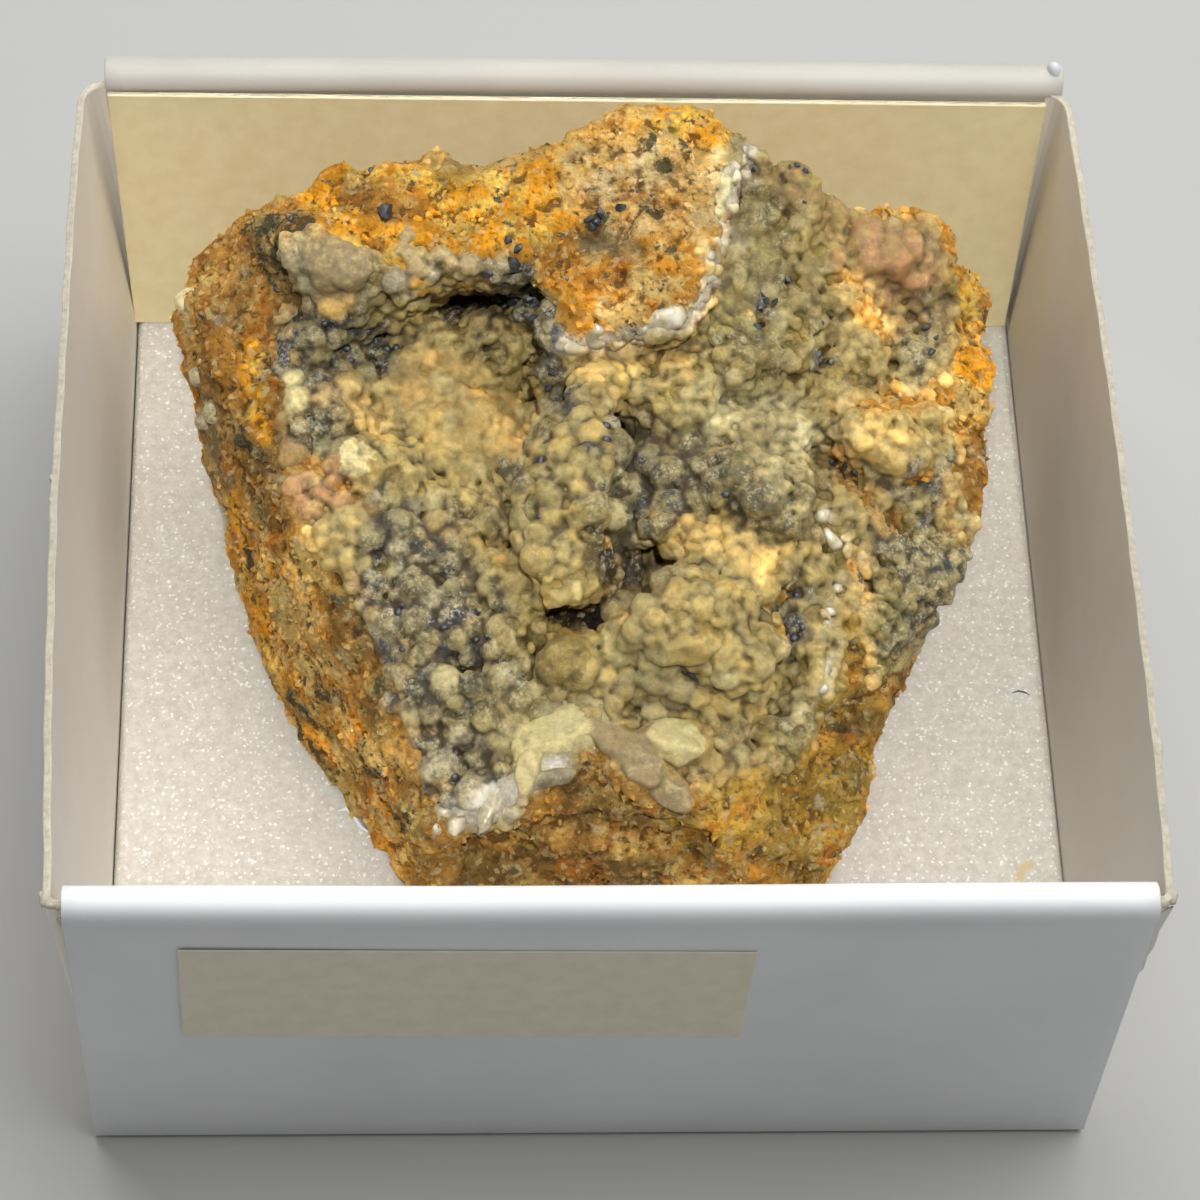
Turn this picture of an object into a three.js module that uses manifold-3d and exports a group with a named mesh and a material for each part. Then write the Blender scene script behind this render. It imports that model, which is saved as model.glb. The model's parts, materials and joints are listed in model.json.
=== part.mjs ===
// Smithsonite specimen on a foam pad in a folded card tray. Millimetres, +Z up.
// The origin is the centre of the tray's underside. +X runs along its front, +Y towards its back.

import * as THREE from 'three';
import { ConvexHull } from 'three/addons/math/ConvexHull.js';
import { mergeVertices } from 'three/addons/utils/BufferGeometryUtils.js';
import Module from 'manifold-3d';

const wasm = await Module();
wasm.setup();

// ---------------------------------------------------------------- driving dimensions

// Tray: one die-cut sheet of card.
const CARD = 0.45;                // thickness of the card
const TRAY_WIDTH = 40;            // over the side walls' top edges, at the corners
const SIDE_LEAN = 0.55;           // how far each side wall leans out from its foot to its top
const TRAY_DEPTH = 39.2;          // over the front and back panels
const TRAY_HEIGHT = 18.8;         // to the top of the rolled front and back edges
const SIDE_HEIGHT = 18.35;        // to the raw top edge of the side walls
const SIDE_BOW = 0.45;            // how far the middle of a side wall's top edge swells out
const PANEL_WIDTH = 38.8;         // the front and back panels stop short of the corners' tops
const DOUBLE_WALL = 1.25;         // panel, trapped corner tab and inner return together
const ROLL_SWELL = 0.1;           // how far the rolled edge stands proud of the wall's two faces
const CORNER_RADIUS = 0.6;        // outer bend of the card at a corner

// Foam pad on the tray's floor.
const PAD_GAP = 0.2;              // clearance to the walls
const PAD_TOP = 4;                // height of the pad's upper face
const PAD_EDGE = 0.3;             // softened edge

// Label card, leaning on the inner back wall with its foot on the pad.
const LABEL_WIDTH = 37.8;
const LABEL_THICKNESS = 0.25;
const LABEL_FOOT_Y = 16.85;       // front face at the foot
const LABEL_TOP_Y = 18;           // front face at the top
const LABEL_TOP_Z = 17.8;
const LABEL_SHIFT = -0.1;         // it stands a little to the left
const LABEL_FOOT_GAP = 0.03;      // keeps the leaning foot just clear of the pad

// Sticker on the outside of the front panel.
const STICKER_WIDTH = 20.7;
const STICKER_HEIGHT = 6.85;
const STICKER_THICKNESS = 0.1;
const STICKER_X = -5.15;
const STICKER_Z = 12.5;
const STICKER_TILT = 0.9;         // degrees, right end low

// Specimen.
const SPECIMEN_CENTRE = new THREE.Vector3(0, 0.5, 11);
const SPECIMEN_DETAIL = 17;       // each edge of the starting icosahedron is cut in 18
const EDGE_SHARPNESS = 90;        // higher keeps the broken edges crisper
const EDGE_MAKE_UP = 1.012;       // gives back what the blended edges take off
const GRAIN_HEIGHT = 0.22;        // roughness of the broken faces
const GRAIN_SIZE = 1.9;

// Corner points of the broken block, from the pad upwards: [x, y, z].
const BLOCK_CORNERS = [
  // outline of the underside, where it stands on the pad
  [-13.0, 0.5, 4], [-12.2, -2.9, 4], [-10.4, -5.4, 4], [-8.4, -8.3, 4], [-6.6, -11.6, 4],
  [-2.5, -12.8, 4], [3.5, -13.2, 4], [8.2, -12.4, 4], [10.3, -8.6, 4], [11.6, -4.0, 4],
  [12.6, 1.0, 4], [13.2, 5.5, 4], [11.0, 9.5, 4], [5.0, 11.5, 4], [-3.0, 11.5, 4],
  [-10.0, 10.0, 4], [-13.8, 5.5, 4],
  // left flank
  [-13.7, 2.2, 7], [-15.0, 4.6, 9], [-15.6, 6.2, 12], [-16.4, 8.3, 13.8], [-16.6, 9.8, 15],
  [-15.4, 12.2, 15.5], [-13.5, 13.2, 12],
  // left edge of the upper face, from the front tip to the back
  [-6.3, -12.4, 9.8], [-6.8, -9.6, 12.4], [-8.7, -5.2, 14.4], [-12.1, -1.0, 16.0], [-15.1, 8.0, 17.2],
  // crest along the back
  [-15.1, 11.0, 17.2], [-13.4, 11.4, 18.7], [-11.5, 11.8, 20.2], [-8.4, 12.6, 21.7],
  [-5.2, 13.0, 21.8], [0.1, 14.0, 22.6], [2.6, 14.5, 23.0], [4.9, 13.9, 22.6], [6.8, 13.6, 21.0],
  // right shoulder
  [8.0, 13.5, 19.2], [10.3, 12.8, 17.9], [12.3, 12.6, 16.9], [14.1, 12.2, 16.0], [15.8, 11.4, 15.0],
  [16.2, 6.4, 14.6], [15.9, 3.6, 14.0], [14.8, 0.4, 13.5], [13.6, -2.5, 13.0],
  // right flank
  [15.2, 9.5, 11.0], [12.9, -4.6, 11.5], [11.8, -6.3, 10.4], [10.4, -9.4, 9.0], [8.9, -12.7, 8.0],
  // lip over the front face
  [-2.1, -11.2, 13.0], [1.6, -12.4, 12.6], [5.0, -12.2, 12.0],
  // back face
  [-6.0, 14.2, 15], [2.0, 15.4, 15], [9.0, 14.0, 13],
];

// Hollows (negative) and swellings (positive) of the surface: place, reach, height and the
// steepness of the rim, where 1 is a soft dish and 4 a sharp step.
const FEATURES = [
  { name: 'dip in the crest', at: [-3.5, 14.0, 22.0], reach: [5.0, 5.0, 3.5], height: -0.9, rim: 1.2 },
  { name: 'basin', at: [-5.2, 2.6, 18.2], reach: [6.4, 5.4, 4.5], height: -1.9, rim: 1.7 },
  { name: 'cave under the crest', at: [-4.3, 6.6, 19.6], reach: [3.2, 1.8, 3.0], height: -2.0, rim: 1.6 },
  { name: 'low ground right of the cap', at: [10.2, 7.6, 18.2], reach: [6.0, 7.0, 4.5], height: -1.4, rim: 2.0 },
  { name: 'valley below the cap', at: [3.4, 1.6, 17.8], reach: [4.6, 4.6, 4.0], height: -1.4, rim: 1.8 },
  { name: 'middle hollow', at: [0.9, -3.4, 16.0], reach: [2.8, 2.5, 3.5], height: -2.2, rim: 1.6 },
  { name: 'hole in the hollow', at: [-0.9, -4.7, 15.4], reach: [1.7, 1.4, 2.5], height: -1.3, rim: 1.5 },
  { name: 'middle ridge', at: [-1.0, -0.9, 16.9], reach: [1.9, 4.8, 3.0], height: 0.8, rim: 1.3 },
  { name: 'yellow mound', at: [3.9, -5.8, 14.8], reach: [3.8, 3.4, 3.0], height: 0.8, rim: 1.3 },
  { name: 'pit on the right', at: [9.8, 1.9, 16.1], reach: [1.7, 1.4, 2.5], height: -1.0, rim: 1.4 },
  { name: 'lumps at the right shoulder', at: [12.6, 10.0, 17.0], reach: [3.0, 2.8, 2.5], height: 0.6, rim: 1.3 },
  { name: 'waist of the right flank', at: [13.4, -6.4, 9.0], reach: [3.5, 6.0, 6.5], height: -0.9, rim: 1.0 },
  { name: 'waist of the left flank', at: [-14.0, -0.5, 8.0], reach: [3.0, 4.0, 4.0], height: -0.4, rim: 1.0 },
];

// ---------------------------------------------------------------- colours

const FINISH = {
  specimen: { color: '#b98a3f', roughness: 0.75 },
  card_tray: { color: '#f1efeb', roughness: 0.6 },
  foam_pad: { color: '#e6e2d8', roughness: 0.9 },
  label_card: { color: '#d8c79b', roughness: 0.7 },
  front_sticker: { color: '#e5dfc6', roughness: 0.6 },
};

// ---------------------------------------------------------------- helpers

const group = new THREE.Group();

function addPiece(name, geometry) {
  const material = new THREE.MeshStandardMaterial({ ...FINISH[name], metalness: 0 });
  const mesh = new THREE.Mesh(geometry, material);
  mesh.name = name;
  group.add(mesh);
  return mesh;
}

function toSolid(geometry) {
  const bare = geometry.clone();
  bare.deleteAttribute('normal');
  bare.deleteAttribute('uv');
  const merged = mergeVertices(bare, 1e-4);
  return new wasm.Manifold(new wasm.Mesh({
    numProp: 3,
    vertProperties: new Float32Array(merged.attributes.position.array),
    triVerts: new Uint32Array(merged.index.array),
  }));
}

function toGeometry(solid) {
  const mesh = solid.getMesh();
  const geometry = new THREE.BufferGeometry();
  geometry.setAttribute('position', new THREE.BufferAttribute(mesh.vertProperties, 3));
  geometry.setIndex(new THREE.BufferAttribute(mesh.triVerts, 1));
  geometry.computeVertexNormals();
  return geometry;
}

// Outline of a rounded rectangle. Its two sides along Y carry extra points, so that they can bow.
function roundedOutline(halfX, halfY, radius, sideSteps) {
  const cornerSteps = 4;
  const corners = [[1, -1, -90], [1, 1, 0], [-1, 1, 90], [-1, -1, 180]];
  const points = [];
  for (const [signX, signY, startAngle] of corners) {
    for (let i = 0; i <= cornerSteps; i++) {
      const angle = THREE.MathUtils.degToRad(startAngle + (90 * i) / cornerSteps);
      const x = signX * (halfX - radius) + radius * Math.cos(angle);
      const y = signY * (halfY - radius) + radius * Math.sin(angle);
      points.push(new THREE.Vector2(x, y));
    }
    if (signX * signY > 0) continue;
    for (let i = 1; i < sideSteps; i++) {
      const along = signX * ((2 * i) / sideSteps - 1);
      points.push(new THREE.Vector2(signX * halfX, along * (halfY - radius)));
    }
  }
  return points;
}

// ---------------------------------------------------------------- card tray

// The single-ply ring of side walls and trapped corner tabs. Its sides lean and swell out
// towards the top.
function trayRing() {
  const halfY = TRAY_DEPTH / 2 - CARD;
  const sideSteps = 10;
  const shape = new THREE.Shape(roundedOutline(TRAY_WIDTH / 2, halfY, CORNER_RADIUS, sideSteps));
  const inner = roundedOutline(TRAY_WIDTH / 2 - CARD, halfY - CARD, CORNER_RADIUS - CARD, sideSteps);
  shape.holes.push(new THREE.Path(inner));
  const ring = new THREE.ExtrudeGeometry(shape, { depth: SIDE_HEIGHT, steps: 4, bevelEnabled: false });
  const position = ring.attributes.position;
  for (let i = 0; i < position.count; i++) {
    const along = Math.cos((Math.PI / 2) * (position.getY(i) / (TRAY_DEPTH / 2)));
    const up = position.getZ(i) / SIDE_HEIGHT;
    const x = position.getX(i);
    const out = SIDE_BOW * along * up * up - SIDE_LEAN * (1 - up);
    position.setX(i, x + Math.sign(x) * out);
  }
  return ring;
}

// A front or back wall: panel, rolled edge and inner return, as one section along X.
function doubleWall(centreY) {
  const half = DOUBLE_WALL / 2;
  const rollRadius = half + ROLL_SWELL;
  const rollZ = TRAY_HEIGHT - rollRadius;
  const underSweep = Math.acos(half / rollRadius);
  const section = new THREE.Shape();
  section.moveTo(half, 0);
  section.lineTo(half, rollZ - rollRadius * Math.sin(underSweep));
  section.absarc(0, rollZ, rollRadius, -underSweep, Math.PI + underSweep, false);
  section.lineTo(-half, 0);
  const wall = new THREE.ExtrudeGeometry(section, {
    depth: PANEL_WIDTH, steps: 1, bevelEnabled: false, curveSegments: 14,
  });
  const along = new THREE.Vector3(1, 0, 0);
  const across = new THREE.Vector3(0, 1, 0);
  const up = new THREE.Vector3(0, 0, 1);
  wall.applyMatrix4(new THREE.Matrix4().makeBasis(across, up, along));
  wall.translate(-PANEL_WIDTH / 2, centreY, 0);
  return wall;
}

function cardTray() {
  const wallY = TRAY_DEPTH / 2 - DOUBLE_WALL / 2;
  const floorWidth = TRAY_WIDTH - 2 * SIDE_LEAN - CARD;
  const floor = new THREE.BoxGeometry(floorWidth, TRAY_DEPTH - DOUBLE_WALL, CARD);
  floor.translate(0, 0, CARD / 2);
  const solid = toSolid(trayRing())
    .add(toSolid(floor))
    .add(toSolid(doubleWall(-wallY)))
    .add(toSolid(doubleWall(wallY)));
  addPiece('card_tray', toGeometry(solid));
}

// ---------------------------------------------------------------- foam pad

function foamPad() {
  const halfX = TRAY_WIDTH / 2 - SIDE_LEAN - CARD - PAD_GAP - PAD_EDGE;
  const halfY = TRAY_DEPTH / 2 - DOUBLE_WALL - PAD_GAP - PAD_EDGE;
  const shape = new THREE.Shape(roundedOutline(halfX, halfY, 0.4, 1));
  const pad = new THREE.ExtrudeGeometry(shape, {
    depth: PAD_TOP - CARD - 2 * PAD_EDGE,
    bevelThickness: PAD_EDGE,
    bevelSize: PAD_EDGE,
    bevelSegments: 2,
  });
  pad.translate(0, 0, CARD + PAD_EDGE);
  addPiece('foam_pad', pad);
}

// ---------------------------------------------------------------- paper pieces

function labelCard() {
  const footZ = PAD_TOP + LABEL_FOOT_GAP;
  const lean = Math.atan2(LABEL_TOP_Y - LABEL_FOOT_Y, LABEL_TOP_Z - footZ);
  const height = Math.hypot(LABEL_TOP_Y - LABEL_FOOT_Y, LABEL_TOP_Z - footZ);
  const card = new THREE.BoxGeometry(LABEL_WIDTH, LABEL_THICKNESS, height);
  card.translate(0, LABEL_THICKNESS / 2, height / 2);
  const mesh = addPiece('label_card', card);
  mesh.rotation.x = -lean;
  mesh.position.set(LABEL_SHIFT, LABEL_FOOT_Y, footZ + LABEL_THICKNESS * Math.sin(lean));
}

function frontSticker() {
  const paper = new THREE.BoxGeometry(STICKER_WIDTH, STICKER_THICKNESS, STICKER_HEIGHT);
  const mesh = addPiece('front_sticker', paper);
  mesh.rotation.y = THREE.MathUtils.degToRad(STICKER_TILT);
  mesh.position.set(STICKER_X, -(TRAY_DEPTH + STICKER_THICKNESS) / 2, STICKER_Z);
}

// ---------------------------------------------------------------- specimen

// Repeatable value in -1..1 for a whole-number place.
function latticeValue(x, y, z) {
  const s = Math.sin(x * 127.1 + y * 311.7 + z * 74.7) * 43758.5453;
  return 2 * (s - Math.floor(s)) - 1;
}

// Smooth noise: lattice values blended between whole-number places.
function smoothNoise(x, y, z) {
  const [ix, iy, iz] = [Math.floor(x), Math.floor(y), Math.floor(z)];
  const ease = (t) => t * t * (3 - 2 * t);
  const [fx, fy, fz] = [ease(x - ix), ease(y - iy), ease(z - iz)];
  let sum = 0;
  for (const [dx, dy, dz] of [[0, 0, 0], [1, 0, 0], [0, 1, 0], [1, 1, 0],
    [0, 0, 1], [1, 0, 1], [0, 1, 1], [1, 1, 1]]) {
    const weight = (dx ? fx : 1 - fx) * (dy ? fy : 1 - fy) * (dz ? fz : 1 - fz);
    sum += weight * latticeValue(ix + dx, iy + dy, iz + dz);
  }
  return sum;
}

// Distance from the centre to the block's broken surface along a direction: the nearest of the
// hull's planes, blended near the edges so that they are worn round. The underside stays flat.
function blockRadius(direction, planes) {
  let blend = 0;
  let base = Infinity;
  for (const { normal, distance } of planes) {
    const facing = normal.dot(direction);
    if (facing < 1e-4) continue;
    if (normal.z < -0.99) base = distance / facing;
    else blend += (distance / facing) ** -EDGE_SHARPNESS;
  }
  return Math.min(EDGE_MAKE_UP * blend ** (-1 / EDGE_SHARPNESS), base);
}

// How much of a feature's height is felt at a point: 1 well inside its reach, 0 outside it.
function featureShare(point, { at, reach, rim }) {
  const distance = Math.hypot(...at.map((c, k) => (point.getComponent(k) - c) / reach[k]));
  const inside = THREE.MathUtils.clamp((1 - distance) * rim, 0, 1);
  return inside * inside * (3 - 2 * inside);
}

function specimen() {
  const corners = BLOCK_CORNERS.map((corner) => new THREE.Vector3(...corner).sub(SPECIMEN_CENTRE));
  const hull = new ConvexHull().setFromPoints(corners);
  const planes = hull.faces.map((face) => ({ normal: face.normal, distance: face.constant }));
  const surface = new THREE.IcosahedronGeometry(1, SPECIMEN_DETAIL);
  surface.deleteAttribute('normal');
  surface.deleteAttribute('uv');
  const geometry = mergeVertices(surface, 1e-5);
  const position = geometry.attributes.position;
  const direction = new THREE.Vector3();
  const point = new THREE.Vector3();
  for (let i = 0; i < position.count; i++) {
    direction.fromBufferAttribute(position, i).normalize();
    const radius = blockRadius(direction, planes);
    point.copy(SPECIMEN_CENTRE).addScaledVector(direction, radius);
    const [gx, gy, gz] = point.toArray().map((c) => c / GRAIN_SIZE);
    let height = GRAIN_HEIGHT * (smoothNoise(gx, gy, gz) + 0.5 * smoothNoise(2 * gx, 2 * gy, 2 * gz));
    for (const feature of FEATURES) height += feature.height * featureShare(point, feature);
    const onBase = point.z < PAD_TOP + 1e-3;
    if (!onBase) point.addScaledVector(direction, height);
    point.z = Math.max(point.z, PAD_TOP);
    position.setXYZ(i, point.x, point.y, point.z);
  }
  geometry.computeVertexNormals();
  addPiece('specimen', geometry);
}

// ---------------------------------------------------------------- assembly

cardTray();
foamPad();
labelCard();
frontSticker();
specimen();

export default group;
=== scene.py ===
# %% [markdown]
# # A smithsonite specimen in its card tray
#
# A collector's specimen: a broken block of iron-stained rock whose upper face is overgrown with
# botryoidal smithsonite, a crust of small rounded knobs. It stands on a white foam pad in a small
# folded card tray, with a cream label leaning on the back wall and a number sticker on the front.
#
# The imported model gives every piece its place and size. This script replaces the plain solids by
# detailed meshes and gives each one its finish. All lengths are in metres, so a helper value turns
# millimetres into metres.

# %% Load the frame
import itertools
import json
import math

import bmesh
import bpy
import numpy as np
from mathutils import Matrix, Vector
from mathutils.bvhtree import BVHTree
from mathutils.kdtree import KDTree

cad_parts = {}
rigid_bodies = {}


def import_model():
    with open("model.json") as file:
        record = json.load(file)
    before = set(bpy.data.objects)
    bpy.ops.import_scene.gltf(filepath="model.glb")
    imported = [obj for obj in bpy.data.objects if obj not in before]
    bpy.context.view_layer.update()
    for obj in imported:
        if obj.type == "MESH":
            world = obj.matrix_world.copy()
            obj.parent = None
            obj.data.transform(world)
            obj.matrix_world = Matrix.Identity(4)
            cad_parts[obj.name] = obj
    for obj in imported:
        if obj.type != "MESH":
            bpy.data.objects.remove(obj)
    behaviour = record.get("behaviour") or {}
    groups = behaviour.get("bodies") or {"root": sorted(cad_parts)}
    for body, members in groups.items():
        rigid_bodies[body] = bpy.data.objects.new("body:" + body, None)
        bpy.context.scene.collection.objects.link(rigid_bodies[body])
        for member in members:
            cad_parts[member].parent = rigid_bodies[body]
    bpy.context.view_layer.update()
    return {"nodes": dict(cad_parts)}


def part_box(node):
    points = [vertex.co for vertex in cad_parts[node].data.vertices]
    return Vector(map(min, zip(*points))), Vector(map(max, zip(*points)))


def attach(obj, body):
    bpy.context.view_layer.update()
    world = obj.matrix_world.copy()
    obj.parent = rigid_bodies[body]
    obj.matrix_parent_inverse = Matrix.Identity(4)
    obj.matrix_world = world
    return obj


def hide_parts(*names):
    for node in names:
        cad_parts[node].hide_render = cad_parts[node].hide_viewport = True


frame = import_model()
MM = 0.001

# %% [markdown]
# ## The camera
#
# The tray is seen from the front and well above, through a long lens, so its far wall looks nearly
# as wide as its near one. The camera comes first because several details of the rock are placed by
# where they show in the picture: a ray from the eye through that place finds the spot on the rock.
# Places in the picture are counted on a frame of 1200 by 1200, from its upper left corner.

# %% The camera
EYE = np.array([-7.78, -83.3, 139.7]) * MM
LOOK = np.array([0.053, 0.5348, -0.8433])
LEVEL = np.array([0.9986, -0.0276, 0.0453])
LENS_MM = 116.55
SENSOR_MM = 36
FRAME_SIDE = 1200

look = LOOK / np.linalg.norm(LOOK)
right = LEVEL - look * (LEVEL @ look)
right /= np.linalg.norm(right)
down = np.cross(look, right)
focal = LENS_MM / SENSOR_MM * FRAME_SIDE

camera = bpy.data.objects.new("camera", bpy.data.cameras.new("camera"))
camera.data.lens = LENS_MM
camera.data.sensor_width = SENSOR_MM
camera.data.clip_start = 0.01
camera.data.clip_end = 10
camera.matrix_world = Matrix((
    (right[0], -down[0], -look[0], EYE[0]),
    (right[1], -down[1], -look[1], EYE[1]),
    (right[2], -down[2], -look[2], EYE[2]),
    (0, 0, 0, 1),
))
bpy.context.scene.collection.objects.link(camera)
bpy.context.scene.camera = camera
print("the camera stands", round(float(np.linalg.norm(EYE)) / MM), "mm from the tray")


# %% Places in the picture
def on_frame(points):
    """Where points in space land on the picture's frame."""
    from_eye = points - EYE
    depth = from_eye @ look
    across = FRAME_SIDE / 2 + focal * (from_eye @ right) / depth
    below = FRAME_SIDE / 2 + focal * (from_eye @ down) / depth
    return np.stack([across, below], axis=1)


def ray_through(place):
    u, v = place
    return look + right * (u - FRAME_SIDE / 2) / focal + down * (v - FRAME_SIDE / 2) / focal


def seen(tree, place):
    """The spot on a surface, and its normal, that shows at a place in the picture."""
    spot, normal, _, _ = tree.ray_cast(Vector(EYE), Vector(ray_through(place)).normalized())
    return spot, normal


def on_level(place, axis, level):
    """The spot on a flat level, across one axis, that shows at a place in the picture."""
    ray = ray_through(place)
    return EYE + ray * (level - EYE[axis]) / ray[axis]


FRAME_PER_MM = 25.2  # how many steps of the frame a millimetre of the rock's upper face covers
print("one step of the frame shows", round(1000 / FRAME_PER_MM), "thousandths of a millimetre")


# %% [markdown]
# ## Helpers for noise
#
# Stone is irregular at every size, so its shape needs noise: values that change smoothly from place
# to place and never repeat, yet come out the same on each run. Two kinds are enough. Smooth noise
# gives swells. Cell noise drops one seed in each cell of a grid and measures the distance to the
# nearest one, which gives the rounded knobs of a crust or the grains of a broken face.

# %% Noise
# Large numbers that scramble a place and a seed, and the bits of the result that are kept
AXIS_STEPS = (73856093, 19349663, 83492791)
SEED_STEP = 2654435
SCRAMBLES = ((13, 1274126177), (15, 40503))
KEPT_BITS = 0x7FFFFFFF


def lattice(cell, seed):
    """A repeatable value from 0 to 1 for each whole-number place."""
    mixed = seed * SEED_STEP
    for axis, step in enumerate(AXIS_STEPS):
        mixed = mixed ^ cell[..., axis] * step
    for shift, factor in SCRAMBLES:
        mixed = (mixed ^ (mixed >> shift)) * factor & KEPT_BITS
    return (mixed >> 7 & 0xFFFF) / 0xFFFF


def swells(points, size, seed):
    """Smooth noise from -1 to 1 whose swells are about one size apart."""
    place = points / size
    cell = np.floor(place).astype(np.int64)
    part = place - cell
    part = part * part * (3 - 2 * part)
    total = np.zeros(len(points))
    for corner in itertools.product((0, 1), repeat=3):
        weight = np.prod(np.where(np.array(corner), part, 1 - part), axis=1)
        total += weight * lattice(cell + np.array(corner), seed)
    return 2 * total - 1


def knobs(points, size, seed):
    """Rounded knobs about one size apart: 1 at a knob's centre, falling to 0 at its edge."""
    place = points / size
    cell = np.floor(place).astype(np.int64)
    nearest = np.full(len(points), 9.0)
    for step in itertools.product((-1, 0, 1), repeat=3):
        other = cell + np.array(step)
        centre = other + np.stack([lattice(other, seed + axis) for axis in range(3)], axis=1)
        nearest = np.minimum(nearest, ((place - centre) ** 2).sum(axis=1))
    return np.sqrt(np.clip(1 - nearest, 0, 1))


# %% [markdown]
# ## Helpers for places and meshes
#
# Most details of the rock are given by a short path in the picture, so one group of helpers measures
# how far a point shows from a path. The other group builds meshes from points and faces, reads and
# moves their points, and stores values on them.

# %% Distances on the picture's frame
def stretches(spots, path):
    """For each stretch of a path: its start, its direction and each spot's distance to it."""
    for start, end in zip(path[:-1], path[1:]):
        along = end - start
        share = np.clip((spots - start) @ along / (along @ along), 0, 1)
        yield start, along, np.linalg.norm(spots - start - share[:, None] * along, axis=1)


def distance_to_path(spots, path):
    """Distance from each spot on the frame to the nearest point of a path of one or more places."""
    path = np.array(path, float)
    nearest = np.linalg.norm(spots - path[0], axis=1)
    for _, _, away in stretches(spots, path):
        nearest = np.minimum(nearest, away)
    return nearest


def mm_from_path(points, path):
    """How far each point shows from a path in the picture, in millimetres on the rock."""
    return distance_to_path(on_frame(points), path) / FRAME_PER_MM


def beside_path(spots, path):
    """Distance to a path, above 0 for spots on its right-hand side and below 0 on its left."""
    nearest = np.full(len(spots), np.inf)
    signed = np.zeros(len(spots))
    for start, along, away in stretches(spots, np.array(path, float)):
        turn = along[0] * (spots[:, 1] - start[1]) - along[1] * (spots[:, 0] - start[0])
        closer = away < nearest
        nearest[closer] = away[closer]
        signed[closer] = (away * np.sign(turn))[closer]
    return signed


def depth_inside(spots, outline):
    """Distance to an outline's edge, above 0 for spots inside it and below 0 outside."""
    inside = np.zeros(len(spots), bool)
    for (x1, y1), (x2, y2) in zip(outline, outline[1:] + outline[:1]):
        spans = (y1 > spots[:, 1]) != (y2 > spots[:, 1])
        crossing = x1 + (spots[:, 1] - y1) * (x2 - x1) / (y2 - y1 or 1e-9)
        inside ^= spans & (spots[:, 0] < crossing)
    away = distance_to_path(spots, outline + outline[:1])
    return np.where(inside, away, -away)


def eased(share):
    """A share held between 0 and 1, with soft ends."""
    share = np.clip(share, 0, 1)
    return share * share * (3 - 2 * share)


def laid_over(under, over, share):
    """A value, or a row of them, with another laid over it by a share."""
    if np.ndim(under) == 2 and np.ndim(share) == 1:
        share = share[:, None]
    return under * (1 - share) + over * share


# %% Helpers for meshes
def object_from(name, vertices, faces):
    mesh = bpy.data.meshes.new(name)
    mesh.from_pydata([tuple(v) for v in vertices], [], [tuple(f) for f in faces])
    mesh.update()
    return bpy.data.objects.new(name, mesh)


def several(name, parts, finish, rounded=True):
    """One piece of several separate parts, each given by its points and faces."""
    starts = np.cumsum([0] + [len(points) for points, _ in parts])
    faces = [tuple(start + i for i in face) for (_, part), start in zip(parts, starts) for face in part]
    piece = object_from(name, np.concatenate([points for points, _ in parts]), faces)
    piece.data.materials.append(finish)
    if rounded:
        smooth(piece)
    return piece


def quads(rows, columns):
    """The faces between points that stand in rows and columns."""
    return [(r * columns + c, r * columns + c + 1, (r + 1) * columns + c + 1, (r + 1) * columns + c)
            for r in range(rows - 1) for c in range(columns - 1)]


def taken_from(shape):
    """The points and the triangles of a bmesh, which is freed."""
    shape.verts.index_update()
    points = np.array([v.co for v in shape.verts])
    faces = np.array([[v.index for v in f.verts] for f in shape.faces])
    shape.free()
    return points, faces


def hull(corners):
    """The points and triangles of the tightest closed shape round some corners."""
    chip = bmesh.new()
    for corner in corners:
        chip.verts.new(corner)
    made = bmesh.ops.convex_hull(chip, input=chip.verts)
    inner = set(made["geom_unused"] + made["geom_interior"])
    bmesh.ops.delete(chip, geom=list(inner), context="VERTS")
    bmesh.ops.recalc_face_normals(chip, faces=chip.faces)
    return taken_from(chip)


def lumpy_ball(subdivisions, radius, roughness, lump, shift, seed):
    """The points and triangles of an irregular ball. Each shift gives it other lumps."""
    ball = bmesh.new()
    bmesh.ops.create_icosphere(ball, subdivisions=subdivisions, radius=radius)
    points, faces = taken_from(ball)
    return points * (1 + roughness * swells(points + shift, lump, seed))[:, None], faces


def read(items, name, dtype, width):
    """One row of numbers for each item of a mesh."""
    flat = np.zeros(len(items) * width, dtype)
    items.foreach_get(name, flat)
    return flat.reshape(-1, width)


def positions(mesh):
    return read(mesh.vertices, "co", np.float32, 3).astype(float)


def normals(mesh):
    return read(mesh.vertex_normals, "vector", np.float32, 3).astype(float)


def move_to(mesh, points):
    mesh.vertices.foreach_set("co", points.astype(np.float32).ravel())
    mesh.update()


def paint(mesh, **layers):
    """Stores layers of numbers or colours, one for each point of a mesh, under their names."""
    for name, values in layers.items():
        if values.ndim == 1:
            layer = mesh.attributes.new(name, "FLOAT", "POINT")
            layer.data.foreach_set("value", values.astype(np.float32))
        else:
            layer = mesh.attributes.new(name, "FLOAT_COLOR", "POINT")
            opaque = np.concatenate([values, np.ones((len(values), 1))], axis=1)
            layer.data.foreach_set("color", opaque.astype(np.float32).ravel())


def settled(piece):
    """A new object with the plain mesh that a piece's modifiers give. The old one is removed."""
    scene = bpy.context.scene
    if piece.name not in scene.collection.objects:
        scene.collection.objects.link(piece)
    bpy.context.view_layer.update()
    graph = bpy.context.evaluated_depsgraph_get()
    mesh = bpy.data.meshes.new_from_object(piece.evaluated_get(graph), depsgraph=graph)
    name = piece.name
    bpy.data.objects.remove(piece)
    return bpy.data.objects.new(name, mesh)


HIDDEN_LEVELS = 4


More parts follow.
